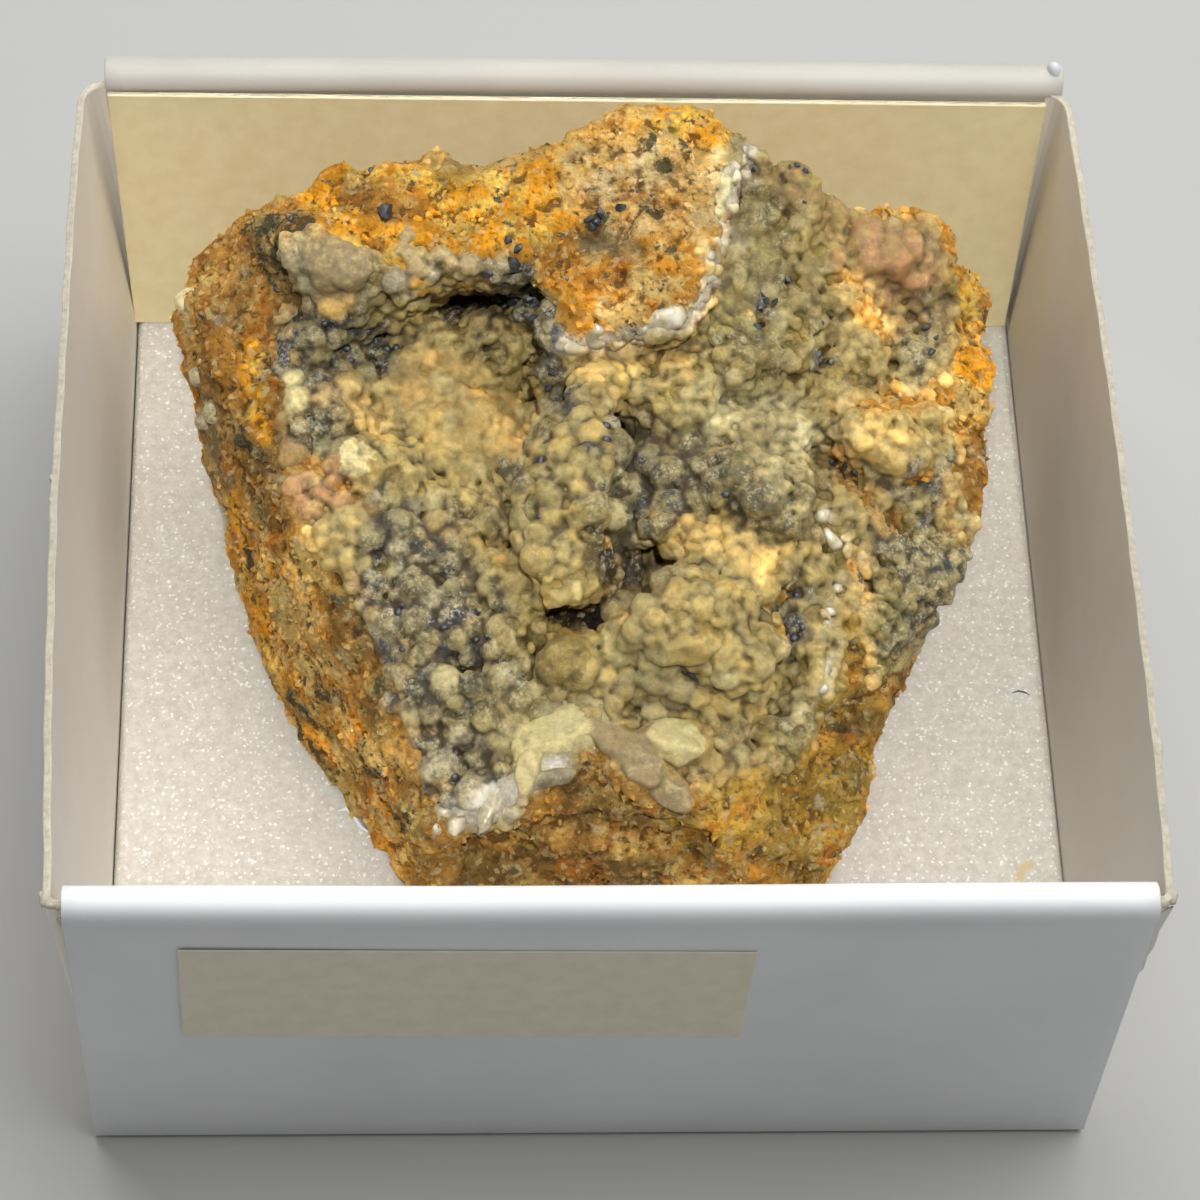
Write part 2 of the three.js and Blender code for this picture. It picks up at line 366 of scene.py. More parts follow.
def thinned(piece, hidden, share):
    """The piece with fewer faces, taken first from where a 0 to 1 value says it is hidden."""
    group = piece.vertex_groups.new(name="hidden")
    levels = np.round(np.clip(hidden, 0, 1) * HIDDEN_LEVELS) / HIDDEN_LEVELS
    for level in np.unique(levels):
        if level > 0:
            group.add(np.flatnonzero(levels == level).tolist(), float(level), "REPLACE")
    fewer = piece.modifiers.new("fewer faces", "DECIMATE")
    fewer.ratio = share
    fewer.vertex_group = "hidden"
    fewer.vertex_group_factor = 1000  # the most that the modifier takes
    slim = settled(piece)
    slim.vertex_groups.clear()
    slim.data.validate()  # drops the few faces that fell together
    return slim


def smooth(piece):
    piece.data.polygons.foreach_set("use_smooth", [True] * len(piece.data.polygons))


def keep(piece, replaced=None):
    """Puts a finished piece in the scene on the one body, hides the part it replaces, prints its triangles.
    """
    bpy.context.scene.collection.objects.link(piece)
    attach(piece, "root")
    if replaced:
        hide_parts(replaced)
    faces = sum(len(f.vertices) - 2 for f in piece.data.polygons)
    print(f"{piece.name}: {faces} triangles")


def neighbour_mean(mesh, points, times):
    """The points after each has moved towards the mean of its neighbours a number of times."""
    ends = read(mesh.edges, "vertices", np.int32, 2)
    start, end = ends.T
    count = len(points)
    degree = np.bincount(ends.ravel(), minlength=count)[:, None].clip(1)
    for _ in range(times):
        total = np.stack([
            np.bincount(start, points[end, axis], count) + np.bincount(end, points[start, axis], count)
            for axis in range(3)], axis=1)
        points = 0.5 * points + 0.5 * total / degree
    return points


def standing_out(mesh, spans):
    """How far each point stands out from its surroundings, 0 in a gap and 1 on a tip.

    The surroundings are the mean place of the neighbours. Each span gives the number of times
    that the mean is taken, and a weight.
    """
    points, directions = positions(mesh), normals(mesh)
    mean, done, level = points, 0, np.full(len(points), 0.5)
    for times, weight in spans:
        mean = neighbour_mean(mesh, mean, times - done)
        done = times
        height = ((points - mean) * directions).sum(axis=1)
        level += weight * height / height.std()
    return np.clip(level, 0, 1)


# %% [markdown]
# ## Helpers for finishes
#
# A colour is written as a designer's hex value, and one function turns it into the linear numbers
# that a shader adds up. Another function adds a node with its settings and links, for shaders and
# for Geometry Nodes alike. The last ones put together what many finishes share: a colour with bumps,
# a stain over a colour, and a colour that drifts in clouds.

# %% Colours and nodes
def linear(hexadecimal):
    """The linear red, green and blue of an sRGB hex colour."""
    parts = [int(hexadecimal[i:i + 2], 16) / 255 for i in (1, 3, 5)]
    return [p / 12.92 if p <= 0.04045 else ((p + 0.055) / 1.055) ** 2.4 for p in parts]


def solid(hexadecimal):
    return (*linear(hexadecimal), 1)


def node(tree, kind, inputs=None, stops=(), **settings):
    """Adds a node. Inputs are values, or other nodes' outputs, by the socket's name or number.

    Stops are a colour ramp's, in rising order: pairs of a position and a hex colour.
    """
    made = tree.nodes.new(kind)
    for name, value in settings.items():
        setattr(made, name, value)
    for name, value in (inputs or {}).items():
        if isinstance(value, bpy.types.NodeSocket):
            tree.links.new(value, made.inputs[name])
        else:
            made.inputs[name].default_value = value
    for number, (position, colour) in enumerate(stops):
        if number == len(made.color_ramp.elements):
            made.color_ramp.elements.new(position)
        made.color_ramp.elements[number].position = position
        made.color_ramp.elements[number].color = solid(colour)
    return made


def finish_named(name, **sockets):
    """A new material with one Principled shader, whose plain sockets are set here."""
    material = bpy.data.materials.new(name)
    material.use_nodes = True
    tree = material.node_tree
    shader = tree.nodes["Principled BSDF"]
    for socket, value in sockets.items():
        shader.inputs[socket.replace("_", " ")].default_value = value
    return material, tree, shader


def dress(shader, colour, height, strength, depth):
    """Gives a shader its colour, and bumps of a depth in millimetres that follow a height."""
    tree = shader.id_data
    bump = node(tree, "ShaderNodeBump", {"Height": height, "Strength": strength, "Distance": depth * MM})
    tree.links.new(bump.outputs["Normal"], shader.inputs["Normal"])
    tree.links.new(colour, shader.inputs["Base Color"])


def stained(tree, colour, guide, span, strengths, stain=None):
    """A colour under a stain whose strength changes over a span of a guiding value.

    Without a stain, the strengths dim and brighten the colour itself.
    """
    strength = node(tree, "ShaderNodeMapRange", {
        0: guide, 1: span[0], 2: span[1], 3: strengths[0], 4: strengths[1]}).outputs[0]
    if stain is None:
        return node(tree, "ShaderNodeMix", {0: 1.0, 6: colour, 7: strength},
                    data_type="RGBA", blend_type="MULTIPLY").outputs[2]
    return node(tree, "ShaderNodeMix", {0: strength, 6: colour, 7: stain}, data_type="RGBA").outputs[2]


def clouded(name, cloud, stops, bump, grain=None, **sockets):
    """A finish whose colour drifts in clouds, with bumps that follow them or a finer grain.

    Cloud and grain are a noise's size in mm and its detail. Bump is a strength and a depth in mm.
    """
    material, tree, shader = finish_named(name, **sockets)
    place = node(tree, "ShaderNodeTexCoord").outputs["Object"]
    drift, height = (
        node(tree, "ShaderNodeTexNoise", {
            "Vector": place, "Scale": 1 / (size * MM), "Detail": detail}).outputs["Fac"]
        for size, detail in (cloud, grain or cloud))
    colour = node(tree, "ShaderNodeValToRGB", {"Fac": drift}, stops).outputs["Color"]
    dress(shader, colour, height, *bump)
    return material


# %% [markdown]
# ## The rock's paints
#
# The colours are those of the minerals. Goethite and limonite stain the rock orange, rust and
# brown. Smithsonite is cream, tan or olive, and grey where it is glassy. Quartz is white, and
# manganese oxide is blue-black. Two paints stand for shade: a dark brown for recesses, partly their
# own colour and partly painted shade, and a near black that is painted shade in holes. Each patch
# of the rock takes one of these paints, with the usual size of the knobs that grow there.

# %% Paints
# name: (main colour, the colour that some grains, rims and knobs have instead)
PAINTS = {
    "orange ochre": ("#EFA635", "#F9D37F"),
    "bright ochre": ("#F6AB28", "#FDD261"),
    "golden ochre": ("#C4983C", "#A98A3E"),
    "cream ochre": ("#E8BA68", "#F1D59A"),
    "rust": ("#B88236", "#CAA25C"),
    "red brown": ("#B38640", "#D3B464"),
    "deep brown": ("#80622F", "#A48648"),
    "cream": ("#AE9656", "#8D8053"),
    "lemon cream": ("#C1B37E", "#B9AE83"),
    "tan": ("#E1BA6A", "#BFA25F"),
    "olive tan": ("#83703A", "#92814D"),
    "olive": ("#685D2F", "#7B6F3F"),
    "olive grey": ("#5F573B", "#8A7B4B"),
    "slate": ("#403B2B", "#807550"),
    "pale grey": ("#80765D", "#A89E79"),
    "honey grey": ("#94815A", "#AF9C68"),
    "salmon": ("#A67D51", "#957B4A"),
    "pink tan": ("#917443", "#806F3E"),
    "quartz white": ("#E6DECA", "#C6BCA4"),
    "green black": ("#4C4C3A", "#8C8454"),
    "blue black": ("#2E3036", "#5A5C5C"),
    # a dark brown for recesses, partly their own colour and partly painted shade
    "recess shade brown": ("#3C301B", "#43371E"),
    # painted shade: a near black for the depths of the holes and of the cave
    "painted deep shade": ("#221B12", "#2C2418"),
}


def paint_colours(name):
    """The linear main and accent colours of a paint, as one row of six numbers."""
    main, accent = PAINTS[name]
    return np.array(linear(main) + linear(accent))


print(len(PAINTS), "paints, such as rust:", paint_colours("rust").round(2))


# %% [markdown]
# ## The rock's large shape
#
# The plain solid already has the block's outline and its main hollows. A copy of it is cut finer,
# and named features then push its surface in and out: the ledge and the cap that overhang the
# crust, the ridge down its middle, the hole at its foot. Remeshing with small voxels gives even
# faces again, also on the cliffs that the features made.

# %% Features of the rock
# name: (places in the picture, reach in mm, height in mm, steepness of the rim)
FEATURES = {
    "ledge over the basin": ([(300, 255), (350, 250), (400, 262), (450, 262), (505, 258)], 1.5, 1.3, 3.0),
    "cap's front": ([(600, 290), (650, 285), (690, 240)], 1.8, 0.5, 2.5),
    "translucent lumps": ([(318, 262), (345, 285)], 1.6, 0.9, 2.0),
    "basin floor": ([(420, 380), (490, 410)], 3.6, -1.5, 1.6),
    "cave": ([(448, 298), (512, 300)], 1.1, -2.6, 2.2),
    "step left of the basin": ([(375, 345), (380, 310)], 0.9, -1.0, 2.0),
    "central ridge": ([(598, 395), (575, 450), (555, 520), (570, 580)], 1.35, 1.7, 2.2),
    "ridge's left foot": ([(515, 470), (500, 540)], 1.0, -0.8, 1.6),
    "grey valley": ([(628, 430), (632, 500)], 1.3, -1.8, 1.8),
    "olive knoll": ([(730, 480), (775, 500)], 1.6, 1.2, 1.8),
    "hollow": ([(622, 560), (640, 585)], 1.6, -2.2, 1.5),
    "hole": ([(562, 614), (592, 617)], 0.6, -2.6, 2.4),
    "lump below the hole": ([(568, 662)], 1.3, 0.7, 2.2),
    "yellow mound": ([(680, 620), (740, 640)], 2.1, 1.4, 2.0),
    "small dark hole": ([(764, 607)], 0.35, -1.2, 2.5),
    "gap below the mound": ([(722, 725), (660, 705), (620, 712)], 0.4, -0.8, 1.8),
    "olive gully": ([(792, 640), (792, 705)], 1.0, -1.6, 1.8),
    "pit": ([(832, 458), (858, 470)], 0.7, -1.2, 2.2),
    "yellow lump": ([(868, 440), (900, 450)], 1.3, 1.1, 2.4),
    "salmon lumps": ([(880, 250), (915, 262)], 1.6, 1.1, 2.0),
    "furrow in the right slope": ([(840, 330), (800, 395), (730, 400)], 0.9, -0.8, 1.5),
    "grey cavity": ([(452, 662), (484, 662)], 0.5, -1.2, 2.2),
    "grey slope's furrow": ([(470, 560), (480, 640)], 0.7, -0.5, 1.6),
    "lip": ([(445, 825), (500, 800), (560, 760), (600, 745), (650, 785), (700, 795)], 0.8, 0.7, 2.5),
    "fold in the front face": ([(470, 860), (600, 820), (700, 860)], 1.0, -0.8, 1.5),
    "notch in the right flank": ([(880, 700), (820, 735)], 0.6, -0.5, 1.6),
}
# name: (places along the edge, with the low side on the right hand, reach in mm, drop in mm)
CLIFFS = {
    "cap": ([(548, 352), (607, 340), (651, 334), (681, 325), (710, 295), (718, 270), (730, 227),
             (737, 190), (748, 150)], 3.0, 1.7),
    "ledge": ([(318, 338), (345, 322), (378, 314), (420, 298), (450, 284), (492, 284), (524, 304),
               (546, 345), (556, 392)], 2.6, 1.6),
    "ridge over the valley": ([(598, 520), (604, 480), (610, 440), (600, 400)], 1.6, 1.2),
    "mound over the hollow": ([(690, 545), (672, 575), (640, 600), (600, 625)], 1.2, 0.8),
    "right of the mound": ([(745, 735), (770, 690), (778, 640), (785, 600)], 1.2, 1.0),
}
ROCK_CUTS = 3
ROCK_VOXEL = 0.15 * MM
ROCK_SHARE = 0.55  # of its faces are left after thinning them where they don't show
BROKEN = ((0.42, 2.1), (0.3, 1.0))  # how far the broken faces heave, and how wide, in mm
BROKEN_SEED = 21
BROKEN_SINK = 0.2 * MM  # keeps the roughened faces inside the block's true size
FOOT_HEIGHT = 1.2 * MM  # the rock keeps its plain shape at its foot, and changes above it
CLIFF_FACE_MM = 0.4  # how far in front of its edge a cliff comes down in full


def feature_height(points):
    """How far the named features push each point of the rock out, in metres."""
    spots = on_frame(points)
    ragged = 0.35 * swells(points, 1.6 * MM, 11) + 0.2 * swells(points, 0.7 * MM, 12)
    height = np.zeros(len(points))
    for path, reach, rise, rim in FEATURES.values():
        away = distance_to_path(spots, path) / FRAME_PER_MM + ragged
        height += rise * MM * eased((1 - away / reach) * rim)
    for path, reach, drop in CLIFFS.values():
        beyond = beside_path(spots, path) / FRAME_PER_MM + 0.5 * ragged
        height -= drop * MM * eased(beyond / CLIFF_FACE_MM) * eased(1.3 * (1 - beyond / reach))
    return height


def faces_eye(points, directions):
    """1 where a surface is turned to the camera, falling to 0 where it turns away."""
    to_eye = EYE - points
    to_eye /= np.linalg.norm(to_eye, axis=1)[:, None]
    return eased((to_eye * directions).sum(axis=1) * 4)


# %% Shape the rock
rock_mesh = frame["nodes"]["specimen"].data.copy()
shaper = bmesh.new()
shaper.from_mesh(rock_mesh)
bmesh.ops.remove_doubles(shaper, verts=shaper.verts, dist=1e-6)
bmesh.ops.subdivide_edges(shaper, edges=shaper.edges, cuts=ROCK_CUTS, use_grid_fill=True)
shaper.to_mesh(rock_mesh)
shaper.free()
rock_mesh.materials.clear()

rock_points = positions(rock_mesh)
rock_normals = normals(rock_mesh)
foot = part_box("specimen")[0].z
off_base = eased((rock_points[:, 2] - foot) / FOOT_HEIGHT)
pushed = feature_height(rock_points) * faces_eye(rock_points, rock_normals) - BROKEN_SINK
for number, (height, width) in enumerate(BROKEN):
    pushed += height * MM * swells(rock_points, width * MM, BROKEN_SEED + number)
rock_points += rock_normals * (off_base * pushed)[:, None]
move_to(rock_mesh, rock_points)

rock = bpy.data.objects.new("rock", rock_mesh)
remesh = rock.modifiers.new("even faces", "REMESH")
remesh.mode = "VOXEL"
remesh.voxel_size = ROCK_VOXEL
rock = settled(rock)
print("the rock has", len(rock.data.vertices), "points")

# %% [markdown]
# ## Painting the rock
#
# The crust covers only the upper face, inside an outline. Each patch then lays its paint over what
# is there, along a short path, with a ragged edge. A patch also says how large the knobs are that
# grow on it, in millimetres: 0 means bare rock.

# %% Outline of the crust
CRUST_OUTLINE = [
    (268, 300), (262, 345), (277, 365), (276, 450), (280, 514), (329, 581), (366, 610), (382, 674),
    (398, 701), (414, 739), (428, 795), (436, 836), (468, 835), (521, 803), (583, 752), (600, 744),
    (644, 794), (695, 808), (734, 785), (798, 757), (827, 712), (846, 690), (885, 672), (925, 640),
    (950, 580), (968, 510), (958, 440), (955, 380), (950, 320), (945, 262), (925, 238), (888, 227),
    (843, 207), (805, 160), (780, 160), (765, 140), (745, 150), (735, 190), (728, 227), (716, 271),
    (708, 292), (681, 323), (651, 332), (607, 338), (563, 344), (545, 330), (540, 290), (520, 262),
    (480, 262), (440, 256), (400, 240), (370, 240), (350, 232), (318, 225), (296, 240),
]
print("the crust's outline has", len(CRUST_OUTLINE), "corners")

# %% Patches of the broken faces round the crust
# name: (paint, knob size in mm, reach in mm, places in the picture)
BROKEN_FACES = {
    "left face": ("rust", 0, 4.0, [(230, 330), (250, 480), (300, 600), (340, 740), (400, 850)]),
    "left face's foot": ("orange ochre", 0, 2.0, [(270, 560), (290, 660), (350, 780), (400, 860)]),
    "left face's brown strip": ("red brown", 0, 0.8, [(300, 540), (350, 620), (385, 720), (425, 830)]),
    "upper left orange": ("rust", 0, 1.2, [(215, 330), (240, 380), (262, 450), (270, 520)]),
    "left edge bright": ("bright ochre", 0, 0.5, [(248, 350), (258, 400), (268, 470)]),
    "reddish corner": ("red brown", 0, 1.1, [(225, 275), (245, 290)]),
    "left face's pale part": ("tan", 0, 1.1, [(285, 600), (315, 660)]),
    "left face's bright foot": ("bright ochre", 0, 0.5, [(236, 500), (262, 620), (282, 700)]),
    "left face's dark foot": ("green black", 0, 0.5, [(250, 556), (262, 592)]),
    "left face's dark foot, lower": ("green black", 0, 0.5, [(296, 690), (304, 722)]),
    "left face's dark streak": ("green black", 0, 0.6, [(306, 735), (338, 775)]),
    "left face's dark end": ("green black", 0, 0.5, [(362, 752), (385, 790), (412, 822)]),
    "left face's dark arris": ("green black", 0, 0.5, [(362, 636), (380, 690)]),
    "left tip": ("lemon cream", 0, 0.6, [(184, 300), (188, 330)]),
    "left edge's pale layer": ("honey grey", 0, 0.7, [(197, 375), (212, 430), (224, 480)]),
    "left face's shade": ("deep brown", 0, 1.0, [(258, 462), (275, 515)]),
    "left face's pale foot": ("tan", 0, 0.6, [(346, 790), (372, 850)]),
    "crest": ("bright ochre", 0, 2.6, [(360, 200), (440, 190), (520, 190), (600, 150), (680, 130)]),
    "crest's left end": ("rust", 0, 0.9, [(350, 190), (405, 208)]),
    "crest's back edge": ("tan", 0, 0.8, [(420, 155), (480, 155), (540, 150), (600, 118), (640, 112)]),
    "front face": ("red brown", 0, 3.2, [(480, 860), (600, 830), (700, 860), (790, 850)]),
    "front face orange": ("golden ochre", 0, 1.7, [(700, 830), (760, 800), (840, 790), (800, 850)]),
    # painted shade under the overhanging lip
    "front face under the lip": ("deep brown", 0, 0.9, [(575, 795), (632, 820)]),
    "front face's bright streak": ("orange ochre", 0, 0.4, [(700, 872), (735, 868), (770, 872)]),
    "front face's dark foot": ("green black", 0, 0.5, [(640, 872), (668, 870)]),
    # the front face's foot is painted darker: painted shade
    "front face dark": ("deep brown", 0, 0.9, [(470, 870), (560, 860), (650, 870)]),
    "right flank orange": ("golden ochre", 0, 1.5, [(850, 720), (870, 720), (840, 760), (790, 790)]),
    "right flank dark": ("deep brown", 0, 0.6, [(840, 735), (880, 715)]),
    "right rim": ("bright ochre", 0, 0.9, [(962, 275), (968, 330), (975, 380), (965, 430)]),
    "right rim low": ("rust", 0, 0.9, [(975, 440), (960, 520), (940, 590)]),
    "right flank green": ("green black", 0, 0.9, [(960, 520), (940, 590), (905, 665)]),
}
print(len(BROKEN_FACES), "patches of the broken faces")

# %% Patches of the crust, from left to right
CRUST_PATCHES = {
    "upper left crust": ("slate", 0.85, 2.0, [(320, 345), (330, 380), (335, 420)]),
    "basin ring": ("olive tan", 0.68, 2.4, [(380, 340), (460, 335), (530, 350), (550, 420)]),
    "basin floor": ("tan", 0.3, 2.1, [(430, 400), (490, 420), (460, 450)]),
    "basin's warm spot": ("tan", 0.25, 1.0, [(470, 400), (510, 440)]),
    "basin's left part": ("tan", 0.5, 1.0, [(366, 395), (378, 440)]),
    "basin's near side": ("cream", 0.6, 0.7, [(420, 468), (500, 470)]),
    "below the basin": ("olive tan", 0.7, 1.6, [(400, 480), (480, 500), (530, 500)]),
    "left rim knobs": ("cream", 0.9, 1.3, [(340, 530), (380, 560)]),
    "grey slope": ("slate", 0.9, 2.6, [(420, 560), (450, 620), (470, 700), (480, 760)]),
    "grey slope's edge": ("slate", 0.8, 0.9, [(370, 590), (400, 660), (420, 720)]),
    "grey slope's cream": ("tan", 0.7, 0.7, [(430, 530), (520, 560)]),
    "central ridge": ("cream", 0.8, 1.3, [(600, 395), (575, 450), (550, 520), (530, 570), (570, 590)]),
    "ridge's top": ("olive tan", 0.6, 1.2, [(620, 370), (590, 380)]),
    "below the cap": ("tan", 0.6, 1.1, [(600, 360), (660, 350), (700, 370), (720, 400)]),
    "grey valley": ("slate", 1.0, 1.6, [(640, 450), (660, 500), (620, 510), (700, 470)]),
    "valley's near side": ("olive grey", 1.0, 0.8, [(620, 515), (690, 515)]),
    "olive knoll": ("olive grey", 1.0, 1.7, [(740, 480), (780, 500)]),
    "right slope": ("olive tan", 0.6, 3.6, [(770, 230), (800, 320), (820, 380), (770, 370)]),
    "right slope shade": ("olive", 0.5, 1.4, [(730, 330), (760, 260), (750, 210)]),
    "right slope top": ("pink tan", 0.8, 1.2, [(790, 180), (830, 215)]),
    "salmon lumps": ("salmon", 0.7, 1.7, [(870, 255), (910, 260), (900, 320)]),
    "pale fan": ("lemon cream", 0.4, 1.6, [(710, 405), (760, 420), (785, 440)]),
    # the hollow's dark brown is partly painted shade
    "hollow": ("recess shade brown", 0.3, 1.6, [(620, 560), (645, 590)]),
    "hollow's cream": ("tan", 0.6, 1.0, [(690, 530), (730, 550), (800, 560)]),
    "yellow mound": ("cream", 0.8, 2.6, [(660, 640), (700, 620), (750, 640), (640, 700)]),
    "mound's left end": ("lemon cream", 0.8, 1.1, [(632, 655), (664, 690)]),
    "mound's right": ("olive tan", 0.7, 1.2, [(790, 600), (800, 570)]),
    "olive gully": ("olive", 0.6, 1.0, [(790, 660), (795, 720), (780, 750)]),
    "lower band": ("pink tan", 0.6, 1.3, [(640, 750), (690, 770), (730, 750)]),
    "lemon slab": ("lemon cream", 0, 1.5, [(540, 740), (580, 720)]),
    "white edge": ("quartz white", 0, 0.7, [(470, 810), (510, 790), (560, 765)]),
    "yellow lump": ("tan", 0.5, 1.1, [(870, 440), (900, 450)]),
    "right shoulder": ("olive grey", 0.6, 1.2, [(930, 300), (920, 350)]),
    "right lower crust": ("olive tan", 0.6, 1.6, [(850, 530), (880, 500), (900, 540), (860, 580)]),
    "right flank's crust": ("olive", 0.6, 1.6, [(940, 520), (925, 590), (885, 640)]),
    "right flank's dark crust": ("slate", 0.7, 0.9, [(895, 560), (940, 560), (925, 610), (885, 640)]),
    "cream by the pit": ("cream", 0.6, 0.9, [(830, 498), (882, 506)]),
    "cream left of the flank": ("cream", 0.7, 0.9, [(805, 560), (805, 630)]),
}
print(len(CRUST_PATCHES), "patches of the crust")

# %% Stains, minerals and painted shade that lie over both
STAINS = {
    "orange on the shoulder": ("orange ochre", 0, 0.9, [(850, 290), (872, 325)]),
    "orange band": ("orange ochre", 0, 0.7, [(848, 406), (900, 404), (985, 406)]),
    "rust by the pit": ("rust", 0, 0.7, [(840, 455), (850, 480), (885, 520)]),
    "orange down the right": ("cream ochre", 0, 0.5, [(850, 540), (862, 600), (868, 660)]),
    "orange in the flank": ("orange ochre", 0, 0.5, [(926, 485), (944, 516), (956, 538)]),
    "rough orange in the flank": ("golden ochre", 0, 0.7, [(850, 615), (858, 676)]),
    "orange below the right rim": ("orange ochre", 0, 0.7, [(935, 384), (962, 402), (952, 425)]),
    "orange on the right rim": ("orange ochre", 0, 0.7, [(920, 478), (945, 500)]),
    "ochre tongue on the ledge": ("bright ochre", 0, 0.6, [(375, 240), (400, 270), (420, 285)]),
    "cap's front": ("orange ochre", 0, 2.0, [(590, 300), (640, 290), (660, 250)]),
    "cap's middle": ("cream ochre", 0, 2.4, [(610, 180), (690, 190)]),
    "cap's grey": ("honey grey", 0, 0.6, [(588, 246), (636, 250)]),
    "cap's cream corner": ("lemon cream", 0, 0.8, [(735, 150), (728, 180)]),
    "cap's dark specks": ("green black", 0, 0.6, [(650, 150), (670, 170)]),
    "cap's lower specks": ("green black", 0, 0.5, [(622, 182), (640, 192), (690, 268)]),
    "cap's dark cluster": ("green black", 0, 0.5, [(590, 228), (600, 215)]),
    "cap's left edge": ("pale grey", 0.5, 0.7, [(540, 300), (550, 340)]),
    "dark corner": ("green black", 0, 1.2, [(265, 240), (300, 232), (290, 275)]),
    "left face's dark spot": ("green black", 0, 0.7, [(244, 440), (262, 455), (272, 468)]),
    "left face's green": ("green black", 0, 0.6, [(320, 680), (330, 700)]),
    "translucent lumps": ("pale grey", 0.9, 1.4, [(315, 255), (340, 285)]),
    # the cave's blue-black is partly manganese crystals and partly painted shade under the ledge; its floor,
    # its depth and the holes are painted shade
    "cave": ("blue black", 0.5, 0.7, [(455, 300), (510, 300), (512, 270)]),
    "cave's floor": ("recess shade brown", 0.4, 0.5, [(440, 312), (500, 318)]),
    "hole": ("painted deep shade", 0, 0.75, [(560, 614), (594, 617)]),
    "small dark hole": ("painted deep shade", 0, 0.45, [(764, 607)]),
    "depth of the cave": ("painted deep shade", 0, 0.6, [(450, 300), (512, 302)]),
    "rim of the cap": ("quartz white", 0, 0.45, [
        (748, 148), (738, 190), (731, 227), (718, 268), (706, 292), (681, 322), (651, 331),
        (607, 337), (563, 343)]),
}
PATCHES = BROKEN_FACES | CRUST_PATCHES | STAINS
CLEAN_PAINTS = ("quartz white", "lemon cream", "pale grey", "honey grey")  # no loose grains on these
SOLID_PAINTS = ("quartz white", "blue black", "bright ochre", "recess shade brown", "painted deep shade")  # no gaps in these
RAGGED_EDGE_MM = 0.35
SOFT_EDGE_MM = 0.5
FLECKED = 0.6  # the share of its own tint that a flecked patch lays down
print(len(STAINS), "stains and minerals")

# %% Dark zones
# Manganese oxide blackens knobs along the basin's rim, in the valley and down the grey slope.
# name: (share of the knobs, reach in mm, places in the picture)
DARK_ZONES = {
    "upper left of the basin": (0.75, 1.2, [(300, 360), (345, 335), (375, 350)]),
    "right rim of the basin": (0.7, 0.8, [(505, 270), (545, 320), (560, 400)]),
    "grey slope": (0.35, 2.0, [(400, 560), (430, 640), (440, 740), (450, 790)]),
    "grey slope's blackest part": (0.75, 0.9, [(440, 610), (470, 640)]),
    "below the basin": (0.5, 0.9, [(520, 460), (545, 500)]),
    "valley": (0.35, 1.3, [(610, 440), (640, 500), (740, 490)]),
    "right slope": (0.12, 2.0, [(780, 300), (820, 350)]),
    "right of the mound": (0.5, 0.8, [(790, 580), (800, 640)]),
    "right rim": (0.5, 0.9, [(900, 520), (930, 470)]),
    "right flank": (0.6, 0.8, [(898, 556), (945, 562), (912, 620)]),
}
print("black knobs grow in", len(DARK_ZONES), "zones")

# %% Paint the rock
rock_points = positions(rock.data)
rock_normals = normals(rock.data)
spots = on_frame(rock_points)
shown = faces_eye(rock_points, rock_normals)
ragged = RAGGED_EDGE_MM * (swells(rock_points, 1.1 * MM, 31) + 0.6 * swells(rock_points, 0.4 * MM, 32))

inside = depth_inside(spots, CRUST_OUTLINE) / FRAME_PER_MM + ragged
crust = shown * eased(inside / SOFT_EDGE_MM + 0.5)
# Without a patch, the rock is rusty and orange in wide clouds, and its crust is olive tan.
stain = 0.5 + 0.5 * swells(rock_points, 4.0 * MM, 33)[:, None]
tint = laid_over(paint_colours("rust"), paint_colours("orange ochre"), stain)
tint = laid_over(tint, paint_colours("olive tan"), crust)
knob_size = 0.6 * crust

# Where the crust grows, hollows are painted darker: partly the dirt they hold, partly painted shade.
sunk = np.clip(
    -swells(rock_points, 2.1 * MM, BROKEN_SEED) - 0.6 * swells(rock_points, 1.1 * MM, BROKEN_SEED + 1), -1, 1)
clean = np.zeros(len(rock_points))
flecks = eased(0.2 + 0.6 * swells(rock_points, 3.2 * MM, 34))
dark_grains = np.zeros(len(rock_points))
for number, (paint_name, size, reach, path) in enumerate(PATCHES.values()):
    away = distance_to_path(spots, path) / FRAME_PER_MM + ragged
    share = shown * eased((reach - away) / SOFT_EDGE_MM)
    blotches = eased(0.5 + 1.2 * swells(rock_points, 1.2 * MM, 100 + number))
    least = 1 if paint_name in SOLID_PAINTS else 0.45 if size else 0.7
    share *= least + (1 - least) * blotches
    knob_size = laid_over(knob_size, size, share)
    flecks = laid_over(flecks, paint_name == "green black", share)
    clean = laid_over(clean, paint_name in CLEAN_PAINTS and size == 0, share)
    dark_grains = laid_over(dark_grains, paint_name == "blue black", share)
    if paint_name == "green black":
        share = share * FLECKED
    tint = laid_over(tint, paint_colours(paint_name), share)
uneven = 0.22 * swells(rock_points, 1.3 * MM, 36) + 0.16 * swells(rock_points, 0.6 * MM, 37)
uneven += (0.1 + 0.2 * (1 - crust)) * (swells(rock_points, 2.4 * MM, 38) - 0.3)
tint *= (1 - 0.22 * sunk * crust + uneven)[:, None]
print("painted", len(PATCHES), "patches")

# %% [markdown]
# ## The rock's fine surface
#
# Where the rock is bare it is granular, like coarse sandpaper. Under the crust it swells in low
# knobs, so that the gaps between the larger ones are filled with smaller ones.

# %% Fine surface
GRAIN_HEIGHT = 0.24 * MM
KNOB_HEIGHT = 0.2 * MM
CLUMP_HEIGHT = 0.5 * MM

